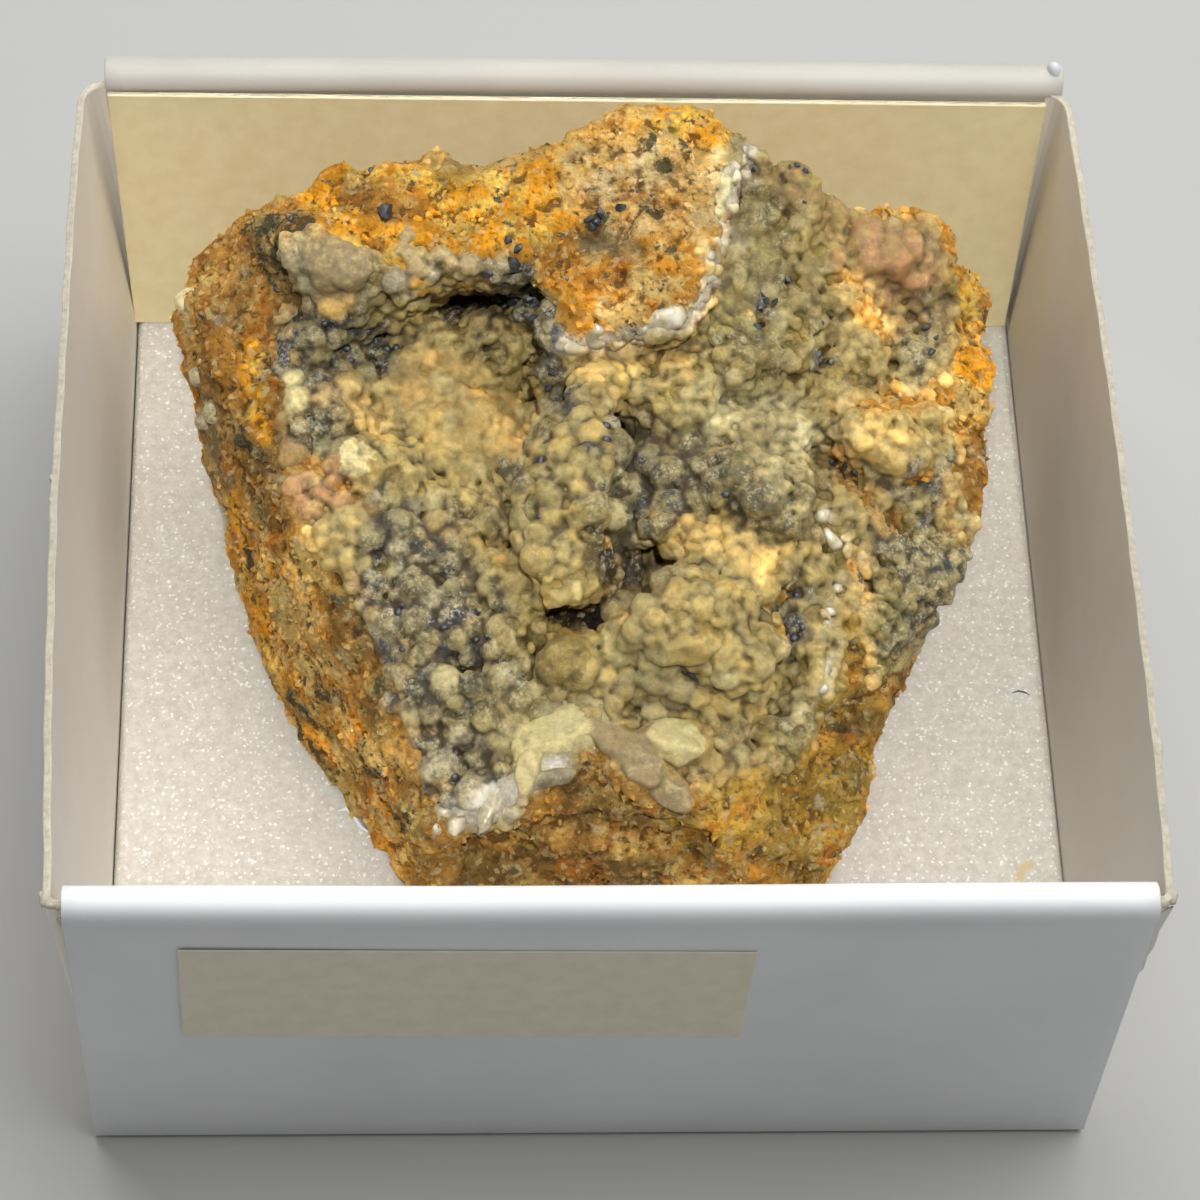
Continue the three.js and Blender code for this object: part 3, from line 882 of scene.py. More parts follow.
bare = 1 - np.clip(knob_size / 0.4, 0, 1)
warped = np.stack([swells(rock_points, 0.6 * MM, 51 + axis) for axis in range(3)], axis=1)
crumbs = knobs(rock_points + 0.3 * MM * warped, 1.0 * MM, 44) - 0.6
grain = 0.5 * swells(rock_points, 0.9 * MM, 42) + 0.9 * crumbs
grain += 0.8 * (knobs(rock_points + 0.15 * MM * warped, 0.5 * MM, 43) - 0.6)
grain += 0.6 * swells(rock_points, 0.34 * MM, 41)
low_knobs = knobs(rock_points, 0.62 * MM, 47) - 0.6
clumps = knobs(rock_points + 0.5 * MM * warped, 1.6 * MM, 49) - 0.6
clumped = eased((knob_size - 0.3) / 0.3)
off_base = eased((rock_points[:, 2] - foot) / (0.5 * MM))
fine = GRAIN_HEIGHT * grain * bare * (1 - 0.6 * clean)
fine += (KNOB_HEIGHT * low_knobs + CLUMP_HEIGHT * clumps * clumped) * (1 - bare)
rock_points += rock_normals * (fine * off_base)[:, None]
move_to(rock.data, rock_points)

relief = standing_out(rock.data, [(4, 0.15), (40, 0.2)])
# Between the clumps the crust is painted darker, and on them a little lighter: painted shade and light.
tint *= (1 + 0.45 * np.clip(clumps, -0.6, 0.2) * clumped)[:, None]
giant_knobs = eased((knob_size - 0.8) / 0.1)
paint(
    rock.data, tint=tint[:, :3], accent=tint[:, 3:], relief=np.maximum(relief, 0.45 * clean), bare=bare,
    giant_knobs=giant_knobs,
    large_knobs=eased((knob_size - 0.62) / 0.15) * (1 - 0.6 * giant_knobs),
    small_knobs=eased((knob_size - 0.38) / 0.12),
    fine_knobs=eased((knob_size - 0.12) / 0.1) * (1 - 0.8 * eased((knob_size - 0.45) / 0.15)),
    loose_grains=bare * (0.12 + 0.88 * shown) * (1 - clean), flecks=flecks,
    dark_grains=eased(2 * dark_grains - 0.5) + 0.05 * (flecks * bare > 0.5),
    rough=np.full(len(rock_points), 1.0), tone=0.5 + 0.5 * swells(rock_points, 0.8 * MM, 48))
smooth(rock)
print("small knobs grow on", round(100 * float((knob_size > 0.38).mean())), "% of the rock's points")
rock_tree = BVHTree.FromPolygons(
    [tuple(p) for p in rock_points], [tuple(f.vertices) for f in rock.data.polygons])

# %% [markdown]
# ## The finish of the crust and of the rock
#
# Smithsonite is a carbonate with a waxy to glassy shine. A little light enters its knobs, and dust
# dulls them. Their colour comes from the patch that they grow on. It is darker in the creases, as
# painted shade and from the iron and manganese that settle there, and lighter on the tips as painted
# light, and each knob has a tone of its own. The bare rock is a mass of small quartz grains in
# orange iron oxide, so its colour changes from grain to grain; its hollows are painted a darker
# brown, partly rust and partly painted shade.

# %% Crust finish
IRON = "#B07430"
# the colour of the gaps: painted shade, with the dirt that settles there
CREASE_SHADE_AND_DIRT = "#473822"
# a frost on the tips that is partly painted highlight
FROST_AND_HIGHLIGHT = "#D3CAB0"


def crust_colour(tree, place, rise):
    """A knob's colour: two tones in clouds, painted shade and dirt in gaps, painted light and frost on tips.
    """
    tint, accent = (node(tree, "ShaderNodeAttribute", attribute_name=name).outputs["Color"]
                    for name in ("tint", "accent"))
    tone, rough = (node(tree, "ShaderNodeAttribute", attribute_name=name).outputs["Fac"]
                   for name in ("tone", "rough"))
    cloud, mottle, iron, cover = (
        node(tree, "ShaderNodeTexNoise", {
            "Vector": place, "Scale": 1 / (size * MM), "Detail": detail,
            "Roughness": roughness}).outputs["Fac"]
        for size, detail, roughness in (
            (0.6, 7.0, 0.65), (0.3, 7.0, 0.72), (0.8, 6.0, 0.6), (1.5, 4.0, 0.6)))
    mixed = node(tree, "ShaderNodeMath", {0: tone, 1: 0.3, 2: cloud}, operation="MULTIPLY_ADD").outputs[0]
    colour = stained(tree, tint, mixed, (0.58, 0.74), (0.0, 0.9), accent)
    colour = stained(tree, colour, mottle, (0.35, 0.65), (0.76, 1.2))
    colour = stained(tree, colour, iron, (0.66, 0.72), (0.0, 0.5), solid(IRON))
    uneven = node(tree, "ShaderNodeMath", {0: mottle, 1: 0.8, 2: -0.4}, operation="MULTIPLY_ADD").outputs[0]
    level = node(tree, "ShaderNodeMath", {0: uneven, 1: rough, 2: rise},
                 operation="MULTIPLY_ADD").outputs[0]
    # the painted shade and dirt in the gaps show less between pale knobs
    paleness = node(tree, "ShaderNodeRGBToBW", {0: tint}).outputs[0]
    gap_shade_and_dirt = node(tree, "ShaderNodeMapRange", {0: paleness, 1: 0.12, 2: 0.35, 3: 0.92, 4: 0.6}).outputs[0]
    colour = stained(tree, colour, level, (0.1, 0.48), (gap_shade_and_dirt, 0.0), solid(CREASE_SHADE_AND_DIRT))
    # painted light: the tips are brightened
    colour = stained(tree, colour, level, (0.5, 1.0), (1.0, 1.5))
    frost = node(tree, "ShaderNodeTexVoronoi", {"Vector": place, "Scale": 1 / (0.09 * MM)})
    sugar = node(tree, "ShaderNodeSeparateColor", {0: frost.outputs["Color"]}).outputs[0]
    sugared = node(tree, "ShaderNodeMath", {0: cover, 1: 2.0, 2: sugar}, operation="MULTIPLY_ADD").outputs[0]
    sugary = node(tree, "ShaderNodeMapRange", {0: sugared, 1: 1.65, 2: 2.0, 3: 0.0, 4: 0.45}).outputs[0]
    # the frost, partly real and partly painted highlight, keeps to the tips and shows most on dark knobs
    for guide, least, most, weak, strong in ((level, 0.35, 0.6, 0.0, 1.0), (paleness, 0.08, 0.22, 1.0, 0.3)):
        left = node(tree, "ShaderNodeMapRange", {0: guide, 1: least, 2: most, 3: weak, 4: strong})
        sugary = node(tree, "ShaderNodeMath", {0: sugary, 1: left.outputs[0]},
                      operation="MULTIPLY").outputs[0]
    return node(tree, "ShaderNodeMix", {0: sugary, 6: colour, 7: solid(FROST_AND_HIGHLIGHT)},
                data_type="RGBA").outputs[2]


def smithsonite_crust():
    """Botryoidal smithsonite, grown in rounded layers: waxy, slightly see-through, dusty."""
    material, tree, shader = finish_named(
        "smithsonite_crust", IOR=1.6, Roughness=0.33, Subsurface_Weight=0.5, Subsurface_Scale=0.0003,
        Subsurface_Radius=(1.0, 0.85, 0.5), Specular_IOR_Level=0.4)
    place = node(tree, "ShaderNodeTexCoord").outputs["Object"]
    rise = node(tree, "ShaderNodeAttribute", attribute_name="relief").outputs["Fac"]
    grit = node(tree, "ShaderNodeTexNoise", {
        "Vector": place, "Scale": 1 / (0.25 * MM), "Detail": 7.0, "Roughness": 0.8}).outputs["Fac"]
    dress(shader, crust_colour(tree, place, rise), grit, 1.0, 0.1)
    return material


# %% Rock finish
def iron_stained_rock():
    """Sandstone-like matrix stained by iron: sugary quartz grains in orange and brown oxide."""
    material, tree, shader = finish_named(
        "iron_stained_rock", IOR=1.5, Roughness=0.8, Specular_IOR_Level=0.2)
    place = node(tree, "ShaderNodeTexCoord").outputs["Object"]
    colour, accent = (node(tree, "ShaderNodeAttribute", attribute_name=name).outputs["Color"]
                      for name in ("tint", "accent"))
    relief, bare, tone, crowd = (node(tree, "ShaderNodeAttribute", attribute_name=name).outputs["Fac"]
                                 for name in ("relief", "bare", "tone", "flecks"))
    grit = node(tree, "ShaderNodeTexNoise", {
        "Vector": place, "Scale": 1 / (0.25 * MM), "Detail": 6.0, "Roughness": 0.75})
    cells = node(tree, "ShaderNodeTexVoronoi", {"Vector": place, "Scale": 1 / (0.22 * MM)})
    parts = node(tree, "ShaderNodeSeparateColor", {0: cells.outputs["Color"]})
    # (size in mm, span of the noise over which the stain grows, its full strength, its colour)
    for size, span, strength, stain in (
            (1.5, (0.48, 0.56), 0.9, accent), (1.9, (0.56, 0.62), 0.75, solid("#B06A1C")),
            (1.3, (0.59, 0.64), 0.7, solid("#AFA383")), (0.9, (0.61, 0.66), 0.8, solid("#E4D3A2"))):
        cloud = node(tree, "ShaderNodeTexNoise", {
            "Vector": place, "Scale": 1 / (size * MM), "Detail": 9.0, "Roughness": 0.68})
        colour = stained(tree, colour, cloud.outputs["Fac"], span, (0.0, strength), stain)
    colour = stained(tree, colour, grit.outputs["Fac"], (0.32, 0.68), (0.7, 1.3))
    colour = stained(tree, colour, tone, (0.0, 1.0), (0.68, 1.34))
    dark = node(tree, "ShaderNodeTexNoise", {
        "Vector": place, "Scale": 1 / (0.9 * MM), "Detail": 8.0, "Roughness": 0.7})
    raised = node(tree, "ShaderNodeMath", {0: crowd, 1: 0.13, 2: dark.outputs["Fac"]},
                  operation="MULTIPLY_ADD").outputs[0]
    uneven = node(tree, "ShaderNodeMath", {0: grit.outputs["Fac"], 1: 0.8, 2: -0.4},
                  operation="MULTIPLY_ADD").outputs[0]
    level = node(tree, "ShaderNodeMath", {0: relief, 1: uneven}, operation="ADD").outputs[0]
    # pale grains, then dark flecks, then hollows darkened to brown: partly rust, partly painted shade
    colour = stained(tree, colour, parts.outputs[2], (0.84, 0.9), (0.0, 0.4), solid("#E2CC94"))
    colour = stained(tree, colour, raised, (0.6, 0.64), (0.0, 0.88), solid("#42432F"))
    colour = stained(tree, colour, level, (0.08, 0.42), (0.85, 0.0), solid("#66461A"))
    colour = node(tree, "ShaderNodeMix", {0: bare, 6: crust_colour(tree, place, relief), 7: colour},
                  data_type="RGBA").outputs[2]
    dress(shader, colour, grit.outputs["Fac"], 1.0, 0.3)
    return material


# %% Quartz and manganese oxide
def glassy_quartz():
    """Clear to milky vein quartz: glassy chips that scatter a little light inside."""
    return clouded(
        "milky_quartz", (0.8, 5.0), [(0.35, "#8E8468"), (0.5, "#BBB092"), (0.68, "#DCD6C4")], (0.4, 0.08),
        IOR=1.54, Roughness=0.22, Subsurface_Weight=0.35, Subsurface_Scale=0.0008,
        Subsurface_Radius=(1.0, 0.9, 0.75))


def manganese_oxide():
    """Blue-black manganese oxide in tiny rounded crystals with a dull metallic shine."""
    return clouded(
        "manganese_oxide", (0.3, 4.0), [(0.4, "#111315"), (0.58, "#22252C"), (0.72, "#454952")],
        (0.5, 0.06), IOR=1.9, Roughness=0.55)


crust_finish = smithsonite_crust()
rock_finish = iron_stained_rock()
quartz_finish = glassy_quartz()
manganese_finish = manganese_oxide()
rock.data.materials.append(rock_finish)
under_crust = (1 - bare) * eased(depth_inside(on_frame(rock_points), CRUST_OUTLINE) / 25 - 0.6)
turned_away = 1 - faces_eye(rock_points, normals(rock.data))
visible_rock = bpy.data.objects.new("smithsonite_rock", rock.data.copy())
move_to(visible_rock.data, rock_points - normals(rock.data) * (0.05 * MM * under_crust)[:, None])
visible_rock = thinned(visible_rock, np.maximum(0.6 * under_crust, 0.7 * turned_away), ROCK_SHARE)
keep(visible_rock, "specimen")

# %% [markdown]
# ## Knobs of the crust
#
# A crust has thousands of knobs, so they aren't placed by hand. A Geometry Nodes tree drops points
# on the rock, no two nearer than a spacing, and sets one of a few lumpy shapes on each, turned and
# sized at random. The patches painted before say where large, small and fine knobs grow. Each point
# passes the rock's tint on to its knob.

# %% Shapes that are repeated
def lumpy_shapes(name, count, subdivisions, roughness, flatness, sink, seed):
    """A collection of irregular balls of radius 1, sunk by a share of it, that know their height."""
    shapes = bpy.data.collections.new(name)
    for number in range(count):
        points, faces = lumpy_ball(subdivisions, 1, roughness, 1.1, 7.0 * number, seed + number)
        points[:, 2] *= flatness
        piece = object_from(f"{name}_{number}", points - (0, 0, sink), faces)
        paint(piece.data, relief=np.clip(0.5 + 0.5 * points[:, 2], 0, 1))
        smooth(piece)
        shapes.objects.link(piece)
    return shapes


# %% The tree that scatters them
def scatter_tree():
    """Points on a surface, one of several shapes on each, made real, with one finish."""
    tree = bpy.data.node_groups.new("scatter", "GeometryNodeTree")
    for label, kind in (("Geometry", "Geometry"), ("Where", "String"), ("Spacing", "Float"),
                        ("Crowding", "Float"), ("Radius", "Float"), ("Spread", "Float"),
                        ("Tilt", "Float"), ("Shapes", "Collection"), ("Count", "Int"),
                        ("Finish", "Material"), ("Seed", "Int")):
        tree.interface.new_socket(name=label, in_out="INPUT", socket_type="NodeSocket" + kind)
    tree.interface.new_socket(name="Geometry", in_out="OUTPUT", socket_type="NodeSocketGeometry")
    given = node(tree, "NodeGroupInput").outputs
    share = node(tree, "GeometryNodeInputNamedAttribute", {"Name": given["Where"]}, data_type="FLOAT")
    points = node(tree, "GeometryNodeDistributePointsOnFaces", {
        "Mesh": given["Geometry"], "Distance Min": given["Spacing"], "Density Max": given["Crowding"],
        "Density Factor": share.outputs[0], "Seed": given["Seed"]}, distribute_method="POISSON")
    tone = node(tree, "FunctionNodeRandomValue", {"Seed": given["Seed"]}, data_type="FLOAT")
    toned = node(tree, "GeometryNodeStoreNamedAttribute", {
        "Geometry": points.outputs["Points"], "Name": "tone", "Value": tone.outputs[1]},
        data_type="FLOAT", domain="POINT")
    last = node(tree, "ShaderNodeMath", {0: given["Count"], 1: 1.0}, operation="SUBTRACT")
    choice = node(tree, "FunctionNodeRandomValue", {4: 0, 5: last.outputs[0], "Seed": given["Seed"]},
                  data_type="INT")
    least_tilt = node(tree, "ShaderNodeMath", {0: given["Tilt"], 1: -1.0}, operation="MULTIPLY")
    low = node(tree, "ShaderNodeCombineXYZ", {0: least_tilt.outputs[0], 1: least_tilt.outputs[0]})
    high = node(tree, "ShaderNodeCombineXYZ", {0: given["Tilt"], 1: given["Tilt"], 2: 2 * math.pi})
    turn = node(tree, "FunctionNodeRandomValue", {
        0: low.outputs[0], 1: high.outputs[0], "Seed": given["Seed"]}, data_type="FLOAT_VECTOR")
    turned = node(tree, "FunctionNodeRotateRotation", {
        0: points.outputs["Rotation"], 1: turn.outputs[0]}, rotation_space="LOCAL")
    shrink = node(tree, "ShaderNodeMath", {0: 1.0, 1: given["Spread"]}, operation="SUBTRACT")
    swell = node(tree, "ShaderNodeMath", {0: 1.0, 1: given["Spread"]}, operation="ADD")
    scale = node(tree, "FunctionNodeRandomValue", {
        2: shrink.outputs[0], 3: swell.outputs[0], "Seed": given["Seed"]}, data_type="FLOAT")
    size = node(tree, "ShaderNodeMath", {0: scale.outputs[1], 1: given["Radius"]}, operation="MULTIPLY")
    shapes = node(tree, "GeometryNodeCollectionInfo", {
        "Collection": given["Shapes"], "Separate Children": True, "Reset Children": True})
    placed = node(tree, "GeometryNodeInstanceOnPoints", {
        "Points": toned.outputs[0], "Instance": shapes.outputs[0], "Pick Instance": True,
        "Instance Index": choice.outputs[2], "Rotation": turned.outputs[0], "Scale": size.outputs[0]})
    real = node(tree, "GeometryNodeRealizeInstances", {"Geometry": placed.outputs[0]})
    finished = node(tree, "GeometryNodeSetMaterial", {
        "Geometry": real.outputs[0], "Material": given["Finish"]})
    node(tree, "NodeGroupOutput", {"Geometry": finished.outputs[0]})
    return tree


scatter = scatter_tree()
print("the scatter tree has", len(scatter.nodes), "nodes")


def scattered(name, surface, **settings):
    """The plain mesh that the scatter tree gives on a surface, as a new object."""
    host = bpy.data.objects.new(name, surface.data)
    modifier = host.modifiers.new("scatter", "NODES")
    modifier.node_group = scatter
    for socket in scatter.interface.items_tree:
        if socket.name in settings:
            modifier[socket.identifier] = settings[socket.name]
    return settled(host)


# %% Scatter the knobs
PER_SQUARE_MM = 1e6
BALLS = 6
CRUST_LAYERS = [
    # (where, spacing, radius, spread), in mm
    ("giant_knobs", 1.1, 0.6, 0.35),
    ("large_knobs", 0.8, 0.45, 0.4),
    ("small_knobs", 0.48, 0.32, 0.4),
    ("fine_knobs", 0.29, 0.3, 0.2),
]
# Some parts of the crust are worn or dusted over, so that their knobs hardly stand out.
# name: (share of the relief that is left, reach in mm, places in the picture)
CALM_ZONES = {
    "basin floor": (0.45, 2.3, [(425, 385), (490, 410), (470, 440)]),
    "right slope": (0.55, 2.8, [(770, 230), (800, 320), (830, 370)]),
    "right shoulder": (0.6, 1.9, [(870, 245), (915, 262)]),
    "hollow": (0.4, 1.4, [(622, 570), (645, 590)]),
    "translucent lumps": (0.35, 1.6, [(315, 255), (345, 290)]),
    "mound's left end": (0.5, 1.4, [(632, 655), (664, 690)]),
}
balls = lumpy_shapes("ball", BALLS, 2, 0.3, 0.9, 0.12, 50)
layers = [
    scattered(where, rock, Where=where, Spacing=spacing * MM, Crowding=16 * PER_SQUARE_MM,
              Radius=radius * MM, Spread=spread, Tilt=0.6, Shapes=balls, Count=BALLS,
              Finish=crust_finish, Seed=number + 1)
    for number, (where, spacing, radius, spread) in enumerate(CRUST_LAYERS)]
print("scattered", ", ".join(layer.name for layer in layers))

# %% [markdown]
# ## Fusing the knobs
#
# Knobs of a real crust grow into each other. So the scattered balls are fused by a remesh with
# voxels of about a tenth of a millimetre, and their facets are smoothed away. The remesh forgets
# which ball a point belonged to, so each point takes its paint and tone from the balls nearest to
# it. How far it stands out from its surroundings tells its place between crease and tip.

# %% Facts about each knob
KNOB_POINTS = len(balls.objects[0].data.vertices)


def of_each_knob(name, kind, width):
    """A painted layer of the scattered balls, read back with one row for each ball."""
    rows = [read(layer.data.attributes[name].data, kind, np.float32, width) for layer in layers]
    return np.concatenate(rows).astype(float)[::KNOB_POINTS]


knob_points = np.concatenate([positions(layer.data) for layer in layers]).reshape(-1, KNOB_POINTS, 3)
knob_centres = knob_points.mean(axis=1)
knob_radii = np.linalg.norm(knob_points - knob_centres[:, None], axis=2).mean(axis=1)
knob_paint = np.concatenate([of_each_knob(name, "color", 4)[:, :3] for name in ("tint", "accent")], axis=1)
knob_tone = of_each_knob("tone", "value", 1)[:, 0]
knob_faces = np.array([tuple(f.vertices) for f in balls.objects[0].data.polygons])
print("scattered", len(knob_centres), "knobs")

# %% Stray and blackened knobs
# Here and there a knob is creamier or glassier than its neighbours, in loose groups.
# paint: (share of the knobs, seed of the groups)
STRAY_KNOBS = {"cream": (0.15, 71), "slate": (0.12, 72), "olive": (0.1, 73), "lemon cream": (0.08, 75)}
STRAY_STRENGTH = 0.4
draw = np.random.default_rng(74)
for paint_name, (share, seed) in STRAY_KNOBS.items():
    strays = draw.random(len(knob_centres)) - 0.25 * swells(knob_centres, 1.8 * MM, seed) < share
    knob_paint[strays] = laid_over(knob_paint[strays], paint_colours(paint_name), STRAY_STRENGTH)

blackened = np.concatenate([paint_colours("blue black")[:3], paint_colours("slate")[3:]])
for share, reach, path in DARK_ZONES.values():
    dark = draw.random(len(knob_centres)) < share
    knob_paint[dark & (mm_from_path(knob_centres, path) < reach)] = blackened
print((knob_paint == blackened).all(axis=1).sum(), "of them are blackened")

# %% Knobs placed one by one
# name: (paint, diameter in mm, places in the picture)
PLACED_KNOBS = {
    "translucent mass": ("honey grey", 1.4, [
        (312, 250), (330, 246), (344, 254), (318, 268), (334, 264), (346, 272), (326, 282)]),
    "its lobes": ("honey grey", 1.0, [
        (349, 284), (365, 271), (320, 292), (305, 288), (340, 295), (365, 257)]),
    "its pale lobes": ("tan", 1.0, [(334, 309), (345, 300), (326, 303)]),
    "cup below them": ("honey grey", 1.0, [(291, 336), (300, 325)]),
    "tan balls below them": ("tan", 1.0, [(338, 355), (352, 345), (330, 345)]),
    "nodules on the ledge": ("honey grey", 1.0, [(407, 232), (405, 251), (418, 268)]),
    "brown nodules on the ledge": ("honey grey", 1.1, [(438, 256), (450, 260), (462, 262), (474, 270)]),
    "grey nodules on the ledge": ("pale grey", 0.9, [(401, 292), (412, 296), (432, 280), (390, 284)]),
    "column at the left rim": ("lemon cream", 1.1, [(295, 378), (292, 392), (302, 400)]),
    "pink column": ("pink tan", 1.1, [(286, 420), (283, 438), (290, 446)]),
    "big yellow nodule": ("lemon cream", 1.9, [(346, 452), (360, 456)]),
    "salmon knobs": ("salmon", 0.9, [
        (308, 480), (322, 494), (300, 500), (340, 500), (318, 515), (295, 485), (330, 480), (308, 508)]),
    "grey knob on the slope": ("pale grey", 1.3, [(430, 602), (412, 505), (380, 500), (398, 545)]),
    "dark knobs by the cave": ("slate", 0.9, [(541, 340), (549, 359), (545, 372), (538, 325)]),
    "round broken lump": ("olive tan", 2.0, [(562, 660), (574, 664)]),
    "ball in the hollow": ("lemon cream", 0.9, [(641, 544)]),
    "lump on the right slope": ("tan", 1.5, [(745, 318)]),
    "knobs of the mound": ("cream", 1.4, [
        (762, 598), (752, 640), (735, 652), (702, 608), (668, 600), (720, 588)]),
    "rods below the mound": ("cream", 1.3, [
        (740, 678), (734, 690), (758, 700), (752, 715), (728, 702), (700, 702)]),
    "knobs of the ridge": ("cream", 1.3, [(560, 455), (578, 490), (548, 520), (590, 430), (535, 560)]),
    "olive balls in the valley": ("olive grey", 1.5, [
        (640, 470), (665, 450), (690, 470), (735, 470), (760, 500), (700, 510), (612, 505), (620, 440)]),
    "pink lumps on the shoulder": ("salmon", 1.35, [
        (862, 240), (878, 234), (895, 238), (912, 246), (926, 260), (868, 258), (886, 256), (904, 262),
        (876, 276), (894, 280), (912, 284), (926, 278), (866, 228), (884, 298)]),
    "shoulder's top": ("pink tan", 1.7, [(770, 182), (795, 178), (815, 200), (838, 222)]),
    "knobs by the lip": ("pale grey", 1.5, [(465, 740), (490, 735), (440, 770), (470, 785)]),
}
print(len(PLACED_KNOBS), "groups of larger knobs")

# %% Bands of small knobs
# name: (paint, diameter in mm, distance between knobs in mm, places in the picture)
BANDS = {
    "rim of the cap": ("quartz white", 0.6, 0.3, [
        (566, 342), (607, 337), (651, 330), (681, 321), (706, 292), (715, 268), (728, 227), (735, 190),
        (745, 150)]),
    "rim's upper part": ("lemon cream", 0.8, 0.4, [(724, 215), (730, 190), (736, 168), (748, 152)]),
    "crystals under the rim": ("quartz white", 0.9, 0.7, [(650, 332), (672, 326), (690, 306)]),
    "knobs at the arris": ("quartz white", 0.7, 0.4, [(436, 834), (452, 822)]),
    "quartz by the right rim": ("quartz white", 0.6, 0.5, [(815, 530), (835, 541), (863, 553)]),
    "quartz down the right": ("quartz white", 0.5, 0.5, [(828, 600), (832, 660), (826, 700)]),
    "left tip": ("lemon cream", 1.0, 0.5, [(184, 300), (184, 330)]),
    "left edge": ("pale grey", 0.8, 0.5, [(196, 380), (206, 440)]),
}
BAND_WANDER = 0.2  # mm that a knob of a band strays from its path


def along_path(path, step):
    """Places spaced by a step in millimetres along a path in the picture, a little astray."""
    stray = np.random.default_rng(len(path)).normal(0, BAND_WANDER * FRAME_PER_MM, (200, 2))
    places = []
    for (u1, v1), (u2, v2) in zip(path[:-1], path[1:]):
        count = max(1, round(math.hypot(u2 - u1, v2 - v1) / FRAME_PER_MM / step))
        places += [(u1 + (u2 - u1) * i / count, v1 + (v2 - v1) * i / count) for i in range(count)]
    return [(u + du, v + dv) for (u, v), (du, dv) in zip(places, stray)]


PLACED_KNOBS.update({
    name: (paint_name, diameter, along_path(path, step))
    for name, (paint_name, diameter, step, path) in BANDS.items()})
print(len(BANDS), "bands of small knobs")

# %% Broken slabs and dark gaps
# name: (paint, length, width and thickness in mm, turn in degrees, place in the picture)
PLATES = {
    "lemon slab": ("lemon cream", 4.2, 2.6, 0.9, 12, (556, 732)),
    "lemon slab's tail": ("lemon cream", 2.2, 1.2, 0.7, 70, (528, 772)),
    "grey edge": ("pale grey", 2.5, 0.9, 0.5, 46, (548, 779)),
    "white streak": ("quartz white", 2.6, 0.8, 0.6, 69, (489, 806)),
    "white chip at the arris": ("quartz white", 1.3, 0.8, 0.5, 60, (458, 824)),
    "rosy slab": ("honey grey", 2.4, 1.5, 0.7, -44, (615, 740)),
    "rosy slab's middle": ("honey grey", 2.2, 1.6, 0.7, -38, (643, 766)),
    "rosy slab's end": ("honey grey", 2.2, 1.4, 0.6, -52, (670, 794)),
    "pale slab": ("lemon cream", 4.0, 2.1, 1.1, 8, (676, 742)),
    "pale slab's step": ("cream", 2.0, 1.3, 0.8, -35, (706, 760)),
    "cream slab on the mound": ("cream", 2.2, 1.6, 0.8, 10, (690, 650)),
}
PLACED_SEED = 77
PLACED_SINK = 0.3  # share of its diameter that a placed knob is sunk into the rock
PLACED_SPREAD = 0.25  # how much larger or smaller than its neighbours a placed knob may be
PLATE_CORNERS = 7
PLATE_ROUGH = 0.15  # how far broken slabs are left rough, beside 1 for a knob

# Dark gaps that no knob bridges. name: (reach in mm, places in the picture)
CLEAR_GAPS = {
    "hole": (0.5, [(556, 613), (598, 616)]),
    "small dark hole": (0.3, [(764, 607)]),
    "mouth of the cave": (0.4, [(450, 300), (512, 302)]),
}
print(len(PLATES), "slabs and", len(CLEAR_GAPS), "gaps")


# %% Shape the placed knobs and slabs
def placed_knob(diameter, place, number):
    """One larger knob that sits on the rock where that place in the picture shows."""
    spot, normal = seen(rock_tree, place)
    points, faces = lumpy_ball(3, 1, 0.22, 0.9, 5.0 * number, PLACED_SEED)
    size = diameter * MM * (1 + PLACED_SPREAD * math.sin(12.9 * number + place[0]))
    return np.array(spot) - np.array(normal) * size * PLACED_SINK + points * size / 2, faces


def placed_plate(length, width, thickness, turn, place, number):
    """A flat broken slab of mineral that lies on the rock where that place in the picture shows."""
    spot, normal = seen(rock_tree, place)
    across = Vector((math.cos(math.radians(turn)), math.sin(math.radians(turn)), 0))
    across = (across - normal * across.dot(normal)).normalized()
    axes = np.array([across, normal.cross(across), normal])
    stray = np.random.default_rng(PLACED_SEED + number)
    corners = []
    for level, spread in ((1, 0.8), (0, 1), (-1, 0.9)):
        for i in range(PLATE_CORNERS):
            angle = 2 * math.pi * (i + 0.5 * stray.random()) / PLATE_CORNERS
            reach = spread * stray.uniform(0.8, 1.1)
            corners.append((reach * math.cos(angle), reach * math.sin(angle), level * stray.uniform(0.7, 1)))
    points, faces = hull(np.array(corners) * np.array([length, width, thickness]) / 2 * MM)
    return np.array(spot) + points @ axes, faces


placed = [
    (paint_name, *placed_plate(length, width, thickness, turn, place, number))
    for number, (paint_name, length, width, thickness, turn, place) in enumerate(PLATES.values())]
placed += [
    (paint_name, *placed_knob(diameter, place, number))
    for paint_name, diameter, places in PLACED_KNOBS.values()
    for number, place in enumerate(places)]
print(len(placed), "knobs and slabs are placed by hand")

# %% Bring all the knobs together
placed_centres = np.array([points.mean(axis=0) for _, points, _ in placed])
placed_radii = np.array([
    np.linalg.norm(points - points.mean(axis=0), axis=1).mean() for _, points, _ in placed])
placed_paint = np.array([paint_colours(name) for name, _, _ in placed])
apart = np.linalg.norm(knob_centres[:, None] - placed_centres[None], axis=2)
kept = np.all(apart > 0.95 * placed_radii[None], axis=1)
for reach, path in CLEAR_GAPS.values():
    kept &= mm_from_path(knob_centres, path) > reach
knob_shapes = [(points, knob_faces) for points in knob_points[kept]]
knob_shapes += [(points, faces) for _, points, faces in placed]
knob_centres, knob_radii, knob_paint, knob_tone = (
    np.concatenate([scattered_ones[kept], placed_ones]) for scattered_ones, placed_ones in (
        (knob_centres, placed_centres), (knob_radii, placed_radii), (knob_paint, placed_paint),
        (knob_tone, np.linspace(0.1, 0.6, len(placed)))))
